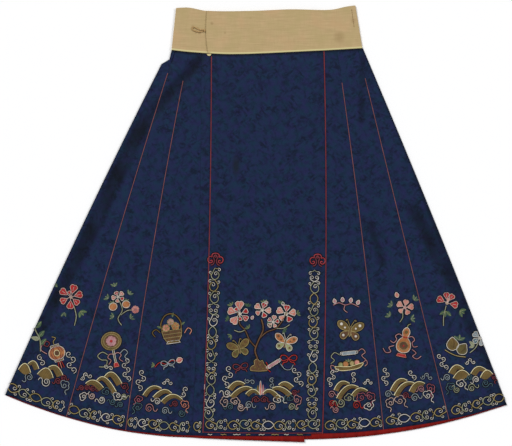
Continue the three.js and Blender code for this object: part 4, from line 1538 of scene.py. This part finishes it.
HILLS = [  # groups of bars: foot, crest, head in the photo's pixels, and thickness in mm
    [
        ((228, 388.3), (236, 381.2), (245.2, 383.7), 11), ((230.2, 396), (241.5, 387), (252.1, 387.9), 10),
        ((245.6, 393.7), (252.8, 389), (259.7, 393.3), 9),
    ],
    [
        ((293.4, 386.4), (285.5, 381.5), (278.5, 384.5), 11),
        ((291.5, 393.7), (281.5, 386.8), (272.3, 387.9), 10),
        ((280.4, 397.1), (270.5, 389.2), (262.8, 392.9), 9),
    ],
    [
        ((142.9, 395), (151.5, 386.3), (161.6, 388.2), 9), ((152.9, 396.9), (163, 389.6), (171.8, 393), 10),
        ((161.1, 401.3), (172, 394.2), (182.5, 399.3), 10),
    ],
    [
        ((122, 383.3), (113, 372.3), (104.5, 376.4), 13), ((116.3, 391.4), (105.5, 377.5), (96.8, 380.3), 10),
        ((103.7, 387.5), (94.5, 380.2), (85.7, 383.3), 13),
    ],
    [
        ((62.9, 374.9), (56.5, 366), (48.5, 367.3), 14), ((53.3, 377.8), (47, 368), (37.5, 374), 0),
        ((39, 368.7), (34.3, 361), (28, 363.9), 11), ((30.8, 372.5), (25.5, 363.5), (18.5, 369.5), 0),
    ],
    [
        ((334, 389.9), (340.5, 381.5), (349.5, 383.3), 10),
        ((336.5, 397.9), (346.5, 386), (358.3, 386.8), 10), ((351.4, 394.8), (359, 388), (367.5, 390.6), 9),
    ],
    [
        ((390.3, 390.2), (398, 379.5), (407.2, 380.3), 10),
        ((394.2, 395.2), (403, 383.5), (414.1, 382.6), 10), ((409.1, 391), (416, 382.3), (424.8, 383.3), 12),
    ],
    [
        ((448.7, 372.6), (455.5, 365), (463.7, 368.6), 13), ((453, 378), (461, 370.2), (469.3, 375), 0),
        ((470.6, 373.5), (477.5, 366.5), (486.4, 369.9), 13), ((480, 377.5), (486, 370.2), (492.5, 374), 0),
    ],
]
CLOUDS = {  # position in the photo's pixels, radius in mm, turn, way it runs, 1 with lobes
    "ivory": [
        (278.5, 399.8, 5.2, 0, 1, 1), (227.2, 392.9, 5.2, 180, 1, 0), (157.2, 401.7, 4.6, -30, -1, 0),
        (83.8, 396.7, 4.4, 60, 1, 1), (101.8, 399.4, 4.8, 200, 1, 0), (117.9, 395.6, 5, 150, -1, 1),
        (46.6, 381.6, 5.8, 170, 1, 0), (368.6, 405.2, 5, 200, -1, 1), (461, 384.2, 5, -20, 1, 1),
        (427.8, 395.6, 5.4, -30, 1, 1), (476.2, 379.7, 4.4, 20, -1, 0),
    ],
    "pale_blue": [
        (248.6, 405.1, 5, 0, 1, 0), (165, 411, 4.8, 0, 1, 0), (29.4, 377.3, 5.4, 20, -1, 0),
        (64.3, 385.5, 5.4, -60, 1, 1), (388.2, 394.4, 4.6, 20, 1, 0), (447.2, 377.9, 4.4, 0, -1, 0),
        (414.8, 397.9, 5.2, 20, 1, 0),
    ],
    "vine_sage": [
        (291.5, 407, 4.6, 0, 1, 0), (341.1, 402.5, 5.8, 190, 1, 0), (471.7, 388.2, 5.2, 30, 1, 0),
        (457, 389.6, 4, 150, 1, 0), (124.2, 396.0, 4.0, 160, -1, 0), (349.1, 398.3, 4.8, 0, 1, 1),
    ],
    "blush": [
        (225.3, 401.3, 5.2, 90, 1, 1), (235.2, 401.7, 4.8, -20, 1, 1), (241, 406.7, 4.8, 150, -1, 0),
        (272.3, 406.7, 5, 0, -1, 0), (390.7, 402.8, 5.2, 70, -1, 1), (399.9, 400.9, 5.8, -20, 1, 1),
        (92.2, 395.6, 4.2, 180, 1, 0),
    ],
    "rose": [
        (296.8, 399.8, 5, -70, 1, 1), (149, 408.5, 5.8, 0, 1, 0), (421.3, 389.4, 4.4, 0, -1, 0),
        (331.6, 394.8, 4.6, 20, 1, 0), (336.1, 409.4, 4, 170, 1, 0),
    ],
    "mauve": [
        (361.4, 397.5, 5, 40, 1, 1), (370.2, 397.1, 5.2, -60, 1, 1), (430.1, 388.7, 5, -60, 1, 1),
        (138.8, 399.8, 4.2, 20, -1, 1),
    ],
    "coral": [
        (184.4, 405.1, 4.8, -50, 1, 1),
    ],
    "red": [
        (331.8, 404, 4.4, 0, 1, 0), (356.4, 405.5, 5.2, 0, 1, 0),
    ],
    "dull_red": [
        (255.8, 399.8, 3.6, 0, -1, 1), (264.4, 399.8, 3.6, 0, 1, 1), (294.5, 392.9, 3.6, 40, 1, 0),
        (175.2, 404.2, 4, 0, -1, 0), (81.6, 388.3, 3.4, 0, -1, 0), (86.9, 387.9, 3.6, 0, 1, 0),
        (92.8, 389.2, 4, 0, 1, 0), (124.4, 386.8, 4.2, -40, 1, 1), (58.1, 381.6, 4, 0, -1, 0),
        (63.4, 378.3, 3.8, 0, 1, 0), (21.3, 369.7, 3.6, 0, 1, 0), (405.3, 395.8, 4, 0, 1, 0),
        (494, 377.5, 3.6, -60, 1, 1),
    ],
    "teal": [
        (288.8, 398.3, 4.6, 0, -1, 1), (230.2, 406.7, 4.6, 0, -1, 0), (137.8, 407.6, 5, 30, -1, 1),
        (181.5, 412.9, 4.6, 180, -1, 0), (106.8, 392.1, 4.8, 0, 1, 1), (112.9, 401.5, 4, 180, 1, 0),
        (120.5, 405.1, 3.8, 0, -1, 0), (450.7, 387.3, 4.8, 40, -1, 1), (485.6, 382.9, 5, 150, -1, 0),
        (469.9, 377.9, 4, 0, -1, 0),
    ],
}
CHAINS = [  # from, to, how many curls, shade
    ((225, 383.5), (230.5, 369), 4, "ivory"), ((299, 383.5), (296, 369.5), 4, "ivory"),
    ((138.5, 387), (143.5, 373), 4, "ivory"), ((127, 378.5), (125.5, 360.5), 5, "ivory"),
    ((71.8, 370), (70.6, 354), 4, "ivory"), ((329, 383.5), (335.5, 369), 5, "ivory"),
    ((384.5, 382.5), (386.5, 370), 4, "ivory"), ((444.5, 367.5), (440.5, 355.5), 4, "ivory"),
    ((248.5, 379.8), (251.3, 383), 2, "pale_blue"), ((272.9, 381), (270.3, 384.4), 2, "pale_blue"),
    ((164.5, 381.5), (171, 382), 3, "ivory"), ((182.5, 393), (186.5, 390.6), 2, "ivory"),
    ((82.5, 376.8), (89.8, 374.8), 3, "ivory"), ((107.7, 366), (109.8, 369), 2, "ivory"),
    ((41.5, 358), (40.6, 362.8), 2, "ivory"), ((352.4, 378.7), (355, 375.2), 2, "ivory"),
    ((365, 381.7), (371, 381.7), 3, "ivory"), ((412.2, 377.2), (412.2, 372.6), 2, "ivory"),
    ((423, 376), (430.5, 376.6), 3, "pale_blue"), ((467, 361.5), (473.5, 361), 3, "ivory"),
]


def sea_and_hills():
    for group in HILLS:
        for rank, bar in enumerate(group):
            hill(*bar, rank)
    for shade, places in CLOUDS.items():
        for px, py, radius, turn, way, lobed in places:
            cloud(spot(px, py, turn), radius, way, lobed, shade)
    for start, end, count, shade in CHAINS:
        curl_chain(start, end, count, shade)
    for k, (u, tall, shade) in enumerate(((-10, 16, "teal"), (-5.8, 21, "gold"), (0, 30, "coral"),
                                          (5.8, 22, "rose"), (10, 15, "teal"))):
        blade = [(u - 2.4, 0), (u - 2.1, tall * 0.6), (u, tall), (u + 2.1, tall * 0.6), (u + 2.4, 0)]
        patch(placed("spikes"), loop_round(blade, 2), shade, "ivory" if abs(u) < 1 else None, 0.1, 1.1)


print("Groups of hills:", len(HILLS), "and clouds:", sum(len(places) for places in CLOUDS.values()))

# %% [markdown]
# ## Where the pictures stand
# The front panel has one large picture, and each gore has its own over the hills. They keep the photo's scale
# and colours in a layout of their own. Every flower is a short table of petals, because on a real skirt no
# two are alike.

# %% Places and petals
PLACES = {  # position in the photo's pixels, and turn in degrees
    "branch": (260.5, 370, 0), "spikes": (260.5, 394, 0),
    "basket": (172, 332, 8), "small bow": (168, 363, 10),
    "fan": (113, 349, 12), "orange spray": (120, 304, 14),
    "six petals": (71, 297, 18), "lantern": (57, 353, 18), "sage branch": (38, 336, 16),
    "spotted butterfly": (350, 331, -6), "buds": (346, 306, -4), "scroll": (349, 353, 6),
    "fruits": (349, 365, 8),
    "gourd": (404, 343, -12), "orange flower": (403, 307, -12),
    "four petals": (447, 303, -18), "peaches": (457, 346, -18), "blue flower": (480, 338, -20),
}


def placed(name, size=1.0):
    return spot(*PLACES[name], size)


LARGE_FLOWER = [  # turn, reach, length, half width, shade
    (-10, 7, 17, 8.5, "coral"), (62, 8, 15, 7.5, "coral"), (132, 7, 16, 8, "coral"), (-78, 6, 11, 5, "red"),
    (-135, 7, 12, 5.5, "red"), (26, 5, 9, 4, "red"), (176, 5, 8, 4, "red"),
]
SMALL_FLOWER = [
    (0, 4, 12, 6, "red"), (72, 5, 13, 6.5, "coral"), (-72, 5, 13, 6.5, "coral"), (142, 5, 10, 5, "coral"),
    (-140, 5, 11, 5.5, "red"),
]
SIX_PETALS = [
    (38, 9, 19, 8, "red"), (-35, 8, 20, 8.5, "red"), (98, 9, 16, 7.5, "red"), (-92, 8, 18, 8, "red"),
    (158, 8, 18, 8, "red"), (-150, 7, 16, 7, "red"), (2, 5, 9, 3.6, "red"),
]
FOUR_PETALS = [
    (22, 8, 15, 6.5, "red"), (-20, 8, 15, 6.5, "red"), (82, 7, 17, 8, "red"), (-84, 7, 17, 8, "red"),
    (0, 3, 8, 3, "coral"),
]
BRANCH_FLOWERS = [  # u, v, turn, size, petals
    (-46, 124, 10, 1.15, LARGE_FLOWER), (4, 132, -20, 1.05, SMALL_FLOWER), (56, 124, -8, 1.2, SMALL_FLOWER),
    (28, 106, 60, 0.8, SMALL_FLOWER),
]


BRANCH_LEAVES = [(-70, 112, 70), (-64, 142, 30), (-28, 140, -10), (8, 148, 10), (44, 146, -20),
                 (80, 124, -70), (50, 88, -120), (-26, 92, 40), (16, 100, -60), (-64, 76, 120)]


print("Places for pictures:", len(PLACES))

# %% [markdown]
# ## The front panel's picture
# A flowering branch rises from a rock, with a butterfly on each side of it. The branch is drawn first and the
# flowers over it, in the order in which they are sewn.

# %% The front panel's picture
def panel_picture():
    root = placed("branch")
    flowing(root, [(-3, 8), (-7, 26), (-12, 44), (-4, 66), (6, 90), (2, 112)], "brown", 3.4)
    flowing(root, [(-10, 50), (-24, 66), (-34, 88), (-46, 102), (-50, 128)], "brown", 2.6)
    flowing(root, [(-2, 70), (14, 84), (34, 92), (50, 112), (58, 130)], "brown", 2.6)
    flowing(root, [(34, 92), (50, 92), (64, 100)], "vine_sage", 1.8)
    flowing(root, [(-34, 88), (-46, 84), (-58, 88)], "vine_sage", 1.8)
    rock(within(root, -4, 8))
    for u, v, turn, size, petals in BRANCH_FLOWERS:
        open_flower(within(root, u, v, turn, size), petals, "ivory", "vine_gold")
    for k, (u, v, turn) in enumerate(BRANCH_LEAVES):
        leaf_spray(within(root, u, v, turn), 3, 9.5, "leaf", "lime" if k % 2 else "leaf", 100)
    for k, (u, v) in enumerate(((-20, 112), (50, 142), (16, 146))):
        bud(within(root, u, v, 40 * k - 30), 7, "rose")
    butterfly(within(root, -47, 47, 14, 1.02), "gold", "old_gold", "vine_gold", "brown")
    butterfly(within(root, 54, 60, -12, 1.02), "orange", "lime", "ivory", "brown")
    ribbon(within(root, 62, 26), "red", 1.05)
    ribbon(within(root, -44, 8, 8), "dull_red", 0.95)
    rolled_scroll(within(root, 29, 14, 32), "rose", "ivory")
    flowing(root, [(12, 18), (16, 10), (14, 4), (22, -4)], "red")
    flowing(root, [(44, 14), (54, 2), (66, 2), (72, 12)], "pale_blue", 1.6)


print("The branch carries", len(BRANCH_FLOWERS), "flowers")

# %% [markdown]
# ## The left gores' pictures
# Beside the panel is a basket of blossoms with a small bow, then a fan below an orange spray, and on the side
# gore a lantern, a red flower and a pale branch. Each picture turns with its gore.

# %% The left gores' pictures
def left_pictures():
    place = placed("basket")
    basket(within(place, 0, 0, 0, 1.3))
    flowing(place, [(-26, 2), (-34, 10), (-43, 4), (-38, -6)], "gold")
    flowing(place, [(27, -6), (36, 4), (43, -2), (38, -10)], "coral")
    place = placed("small bow")
    ribbon(place, "pale_blue", 0.9)
    flowing(place, [(-30, -4), (-18, 4), (-4, -2), (8, 4), (24, 0), (34, 4)], "red", 1.7)
    patch(within(place, 26, 2, 20), oval(0, 0, 6.5, 6, 10), "coral", "ivory")
    leaf_spray(within(place, -30, 0, 70), 3, 9, "leaf", "lime")

    place = placed("fan")
    fan(within(place, 0, 4, 0, 1.15))
    flowing(place, [(-14, -10), (-24, -2), (-36, -8), (-30, -18), (-18, -22), (-24, -34), (-38, -32)],
            "vine_sage")
    flowing(place, [(14, -12), (24, -6), (30, -14), (22, -22), (30, -32)], "pale_blue")
    place = placed("orange spray")
    flowing(place, [(-8, -46), (-12, -30), (2, -14), (0, 8)], "vine_sage", 2.0)
    flowing(place, [(-4, -24), (12, -18), (26, -20)], "vine_sage", 1.7)
    orange(within(place, -16, -2, 10), 9)
    orange(within(place, 13, -4, -12), 8.5)
    open_flower(within(place, 0, 16, 12, 0.8), SMALL_FLOWER, "ivory", "vine_gold")
    blossom(within(place, 30, -20, 0), 8, "coral", "rose")
    spots = ((-20, -24, 60), (14, -36, -70), (-22, 18, 40), (24, 16, -50), (-2, 40, 0))
    sprays(place, [(*at, 3, 11, "leaf", "vine_sage", 90) for at in spots])

    place = placed("six petals")
    open_flower(place, SIX_PETALS, "blush", "vine_gold")
    sprays(place, [(10, -36, 200, 3, 15, "leaf", "lime", 90),
                   (-24, -28, 150, 2, 12, "leaf", "vine_sage", 60)])
    leaf(within(place, -22, 30, 20), 15)
    flowing(place, [(0, -22), (-2, -44), (-12, -62)], "vine_sage")
    place = placed("lantern", 1.2)
    lantern(place)
    flowing(place, [(-18, 4), (-26, 14), (-22, 22)], "rose")
    place = placed("sage branch")
    flowing(place, [(-4, -34), (2, -8), (-2, 16), (4, 40)], "vine_sage", 2.4)
    leaves = [(0, -20, -60), (1, -8, 60), (1, -2, -60), (0, 12, 60), (1, 18, -55), (4, 38, 0)]
    for k, (u, v, turn) in enumerate(leaves):
        leaf(within(place, u, v, turn), 19, "vine_sage" if k % 2 else "leaf", "lime")
    flowing(place, [(6, -22), (14, -28), (20, -22), (14, -16), (8, -22)], "dull_red")


print("Petals of the red flower:", len(SIX_PETALS))

# %% [markdown]
# ## The right gores' pictures
# Beside the panel are a butterfly, a rolled scroll and a dish of fruits, then a gourd with an orange flower,
# and on the side gore peaches between two flowers.

# %% The right gores' pictures
def right_pictures():
    butterfly(placed("spotted butterfly", 1.2), "gold", "brown", "vine_gold", "ivory")
    place = placed("buds")
    flowing(place, [(-28, 0), (-16, 6), (-2, 2), (12, 6), (28, 0)], "rose", 2.0)
    for k, (u, v) in enumerate(((-24, 4), (-8, 8), (9, 8), (24, 5))):
        bud(within(place, u, v, 20 - 14 * k), 9, "rose")
    flowing(place, [(-2, 2), (-4, -8), (4, -14)], "rose", 1.7)
    place = placed("scroll", 1.05)
    rolled_scroll(place, "pale_blue", "ivory")
    flowing(place, [(-20, -2), (-30, 4), (-38, -4), (-32, -12), (-40, -18)], "vine_sage", 1.7)
    flowing(place, [(20, 2), (28, 6), (34, -2), (26, -8), (34, -18)], "rose", 1.7)
    place = placed("fruits")
    for u, size, shade in ((-18, 5.5, "lime"), (-7, 6.5, "orange"), (7, 5.5, "vine_gold"), (18, 6, "coral")):
        patch(within(place, u, 3), oval(0, 0, size, size, 12), shade, "old_gold")
    dish = [(-31, 1), (0, -3.5), (31, 1), (22, -9), (0, -11), (-22, -9)]
    patch(place, loop_round(dish, 3), "gold", "straw", 0.3)
    leaf_spray(within(place, 0, 7, 0), 3, 9, "leaf", "lime", 100)
    for way in (-1, 1):
        flowing(place, [(way * 31, 1), (way * 39, 5), (way * 40, -3), (way * 34, -7)], "rose", 1.6)

    place = placed("gourd", 1.02)
    gourd(place)
    for way in (-1, 1):
        flowing(place, [(way * 20, -10), (way * 30, -16), (way * 24, -24), (way * 34, -28), (way * 42, -20)],
                "rose")
    place = placed("orange flower")
    all_coral = [(*petal_size, "coral") for *petal_size, shade in SMALL_FLOWER]
    open_flower(within(place, 4, 0, 0, 1.05), all_coral, "blush", "red")
    flowing(place, [(0, -8), (4, -22), (0, -34)], "vine_sage")
    spots = ((-24, -26, 60), (-24, -2, 70), (22, -22, -70), (20, 20, -30))
    sprays(place, [(*at, 3, 12, "leaf", "vine_sage", 90) for at in spots])
    bud(within(place, -16, 18, 30), 10, "coral")

    place = placed("four petals")
    open_flower(place, FOUR_PETALS, "blush", "vine_gold")
    sprays(place, [(3, -18, 190, 3, 16, "leaf", "lime", 110), (32, -8, -100, 3, 15, "leaf", "lime", 80),
                   (36, 22, -30, 2, 15, "leaf", "vine_sage", 60)])
    flowing(place, [(0, -6), (2, -30), (8, -50)], "vine_sage")
    place = placed("peaches", 1.15)
    peach(within(place, -9, 0, 20), 11.5, "gold")
    peach(within(place, 11, -3, -18), 10.5, "old_gold")
    leaf_spray(within(place, 0, 12, 10), 3, 13, "leaf", "vine_sage", 120)
    cord(place, rounded([(-20, -14), (-8, -17), (6, -18), (22, -15)], 3), "vine_gold", 2.0)
    place = placed("blue flower")
    open_flower(place, [(0, 4, 14, 7, "pale_blue"), (72, 4, 14, 7, "pale_blue"), (-72, 4, 14, 7, "teal"),
                        (142, 4, 13, 6, "teal"), (-142, 4, 13, 6, "pale_blue")], "ivory", "vine_gold")
    flowing(place, [(0, -8), (-2, -24), (-10, -38)], "vine_sage", 2.0)
    leaf_spray(within(place, -6, -20, 100), 2, 15, "vine_sage", "lime", 60)


print("Petals of the small flower:", len(SMALL_FLOWER))

# %% [markdown]
# ## Laying threads and patches
# A ray finds the height of the cloth under every point of a thread. The threads of one shade become one mesh,
# because thousands of single objects would be slow. Flat dark strips beside them are their painted shadow.

# %% Threads on the cloth
FLOOR_CLEAR = 0.02
RAY_FROM = 0.1  # metres above or below the skirt
THREAD_STEP = 4  # the longest stretch of a thread between two points on the cloth
THREAD_UP, THREAD_DOWN = 0.15, 0.1  # how far its middle lies off the cloth, on top and on the floor side
LOW_THREAD = PADDING - 0.05  # a thread that is lifted less than this lies on the cloth itself
DARK_WIDE, DARK_RISE = 1.8, 0.12  # the dark strip beside a thread, and how high it lies over the cloth
DARK_STEP, DARK_STEPS = 0.01, 6
PRESSED = 0.25  # how high a patch stands on the side that lies on the floor, against the front
PATCH_SUNK, PATCH_SLOPE = 0.3, 0.5  # its edge below the cloth, and how far in it reaches its full height


def cloth_height(side, x, y):
    """Height of the outermost cloth at x, y in millimetres, or None beside the skirt."""
    way = 1 if side == "front" else -1
    hits = []
    for skin in skins[side]:
        hit = skin.ray_cast(Vector((x * MM, y * MM, way * RAY_FROM)), Vector((0, 0, -way)))[0]
        if hit:
            hits.append(hit.z / MM)
    if not hits:
        return None
    return max(hits) if side == "front" else min(hits)


def lay_cords(side):
    """The threads of each shade as they lie on the cloth, and the strips of painted shadow under the lowest
    ones.
    """
    runs = {shade: [] for shade in SHADES}
    strips = []
    for points, shade, wide, lift in work["cords"]:
        fine = []
        for a, b in zip(points, points[1:]):
            parts = max(1, math.ceil(math.dist(a, b) / THREAD_STEP))
            fine += [(lerp(a[0], b[0], i / parts), lerp(a[1], b[1], i / parts)) for i in range(parts)]
        fine.append(points[-1])
        laid, ground = [], []
        for x, y in [*fine, (math.inf, 0)]:
            z = None if x == math.inf else cloth_height(side, x, y)
            if z is not None:
                if side == "front":
                    laid.append((x, y, z + THREAD_UP + lift))
                else:
                    laid.append((x, y, max(z - THREAD_DOWN - lift, wide / 2 + FLOOR_CLEAR)))
                ground.append((x, y, z))
                continue
            if len(laid) > 1:
                runs[shade].append((laid, wide))
            if len(laid) > 1 and side == "front" and lift < LOW_THREAD:
                strips.append((ground, wide / 2 + DARK_WIDE))
            laid, ground = [], []
    return runs, strips


def dark_strips(strips):
    """Flat strips of painted shadow on the cloth. Each lies a hair higher or lower than the next, so that none
    coincide.
    """
    bm = bmesh.new()
    for k, (points, half) in enumerate(strips):
        rise = DARK_RISE + DARK_STEP * (k % DARK_STEPS)
        last = None
        for i, (x, y, z) in enumerate(points):
            before, after = points[max(i - 1, 0)], points[min(i + 1, len(points) - 1)]
            long = math.hypot(after[0] - before[0], after[1] - before[1]) or 1
            dx, dy = half * (after[0] - before[0]) / long, half * (after[1] - before[1]) / long
            pair = [bm.verts.new(Vector((x + way * dy, y - way * dx, z + rise)) * MM) for way in (-1, 1)]
            if last:
                bm.faces.new((*last, *reversed(pair)))
            last = pair
    piece = put_in(add_object("needlework_painted_shadow", mesh_of(bm), painted_shadow_silk), "embroidery_silk")
    print("Dark strips:", len(piece.data.polygons), "faces")


def add_patches(bm, side, shade):
    way = 1 if side == "front" else -PRESSED
    for outline, own, lift in work["patches"]:
        if own != shade:
            continue
        middle_x = sum(x for x, y in outline) / len(outline)
        middle_y = sum(y for x, y in outline) / len(outline)
        if cloth_height(side, middle_x, middle_y) is None:
            continue
        around = sum(a[0] * b[1] - b[0] * a[1] for a, b in zip(outline, [*outline[1:], outline[0]]))
        ring = []
        for x, y in outline if around * way > 0 else reversed(outline):
            z = cloth_height(side, x, y)
            while z is None:
                x, y = lerp(x, middle_x, 0.1), lerp(y, middle_y, 0.1)
                z = cloth_height(side, x, y)
            ring.append((x, y, z))
        low = [bm.verts.new(Vector((x, y, max(z + way * (lift - PATCH_SUNK), FLOOR_CLEAR))) * MM)
               for x, y, z in ring]
        face = bm.faces.new(low)
        bmesh.ops.inset_region(bm, faces=[face], thickness=PATCH_SLOPE * MM, use_even_offset=True)
        for vert in face.verts:
            z = cloth_height(side, vert.co.x / MM, vert.co.y / MM)
            if z is not None:
                vert.co.z = max(z + way * (lift + PADDING), FLOOR_CLEAR) * MM


def sew(side):
    runs, strips = lay_cords(side)
    if strips:
        dark_strips(strips)
    made = 0
    for shade in SHADES:
        bm = bmesh.new()
        add_patches(bm, side, shade)
        bmesh.ops.triangulate(bm, faces=bm.faces)
        if runs[shade]:
            drawn = cords_to_mesh("threads", runs[shade], threads[shade])
            bm.from_mesh(drawn.data)
            bpy.data.objects.remove(drawn)
        for face in bm.faces:
            face.smooth = True
        mesh = mesh_of(bm)
        if mesh.polygons:
            put_in(add_object("needlework_" + side + "_" + shade, mesh, threads[shade]), "embroidery_silk")
            made += len(mesh.polygons)
    return made


print("A thread is laid in steps of", THREAD_STEP, "mm")

# %% [markdown]
# ## Sewing both sides
# Now each side is drawn and sewn. The side that lies on the floor has the same border, hills and pictures,
# because a skirt is worked all round, and its patches are pressed flatter.

# %% Both sides
COLUMNS = [((209.2, 419), (215, 268)), ((311.6, 419), (314.5, 270))]  # foot and head, in the photo's pixels
HEADS = [(215.5, 260, -2), (317.5, 261, -2)]


def panel_border():
    for k, (foot, head) in enumerate(COLUMNS):
        border([spot(*foot)[:2], spot(*head)[:2]], 3 * k, COLUMN_SHADES, "ivory", 1.7, 1.3)
    for place in HEADS:
        ruyi(spot(*place))


TIPS, TIP_X, TIP_Y, TIP_GAP = 8, -106, -463.0, 28  # stitches of the layer beneath, just below the front hem
WORN_EDGE = [spot(204.7, 384)[:2], spot(204.5, 389)[:2]]
FRONT_HEMS = [(LEFT_FRONT_HEM, -546, -421), (LEFT_FRONT_HEM, -412, -291), (LEFT_FRONT_HEM, -282, -145),
              (LEFT_FRONT_HEM, -137, -121), (RIGHT_FRONT_HEM, -111, 140), (RIGHT_FRONT_HEM, 152, 276),
              (RIGHT_FRONT_HEM, 286, 419), (RIGHT_FRONT_HEM, 430, 546)]
BACK_HEMS = [(LEFT_BACK_HEM, -546, -421), (LEFT_BACK_HEM, -412, -291), (LEFT_BACK_HEM, -282, -162),
             (RIGHT_BACK_HEM, -109, 140), (RIGHT_BACK_HEM, 152, 276), (RIGHT_BACK_HEM, 286, 419),
             (RIGHT_BACK_HEM, 430, 546)]

for side, hems in (("front", FRONT_HEMS), ("under", BACK_HEMS)):
    work = {"cords": [], "patches": []}
    for k, (hem, x0, x1) in enumerate(hems):
        border(hem_path(hem, x0, x1), 2 * k, HEM_SHADES, "ivory", 1.8, 1.2)
    panel_border()
    sea_and_hills()
    panel_picture()
    left_pictures()
    right_pictures()
    if side == "front":
        for k in range(TIPS):
            tips = [(TIP_X + TIP_GAP * k + 1.6 * i, TIP_Y + 0.8 * math.sin(1.3 * i + k))
                    for i in range(7 + 2 * (k % 3))]
            cord(FLAT, tips, "vine_gold" if k % 2 else "ivory", 1.5)
        cord(FLAT, WORN_EDGE, "blush", 1.8, 1.7)
    print(side, "needlework:", sew(side), "faces")
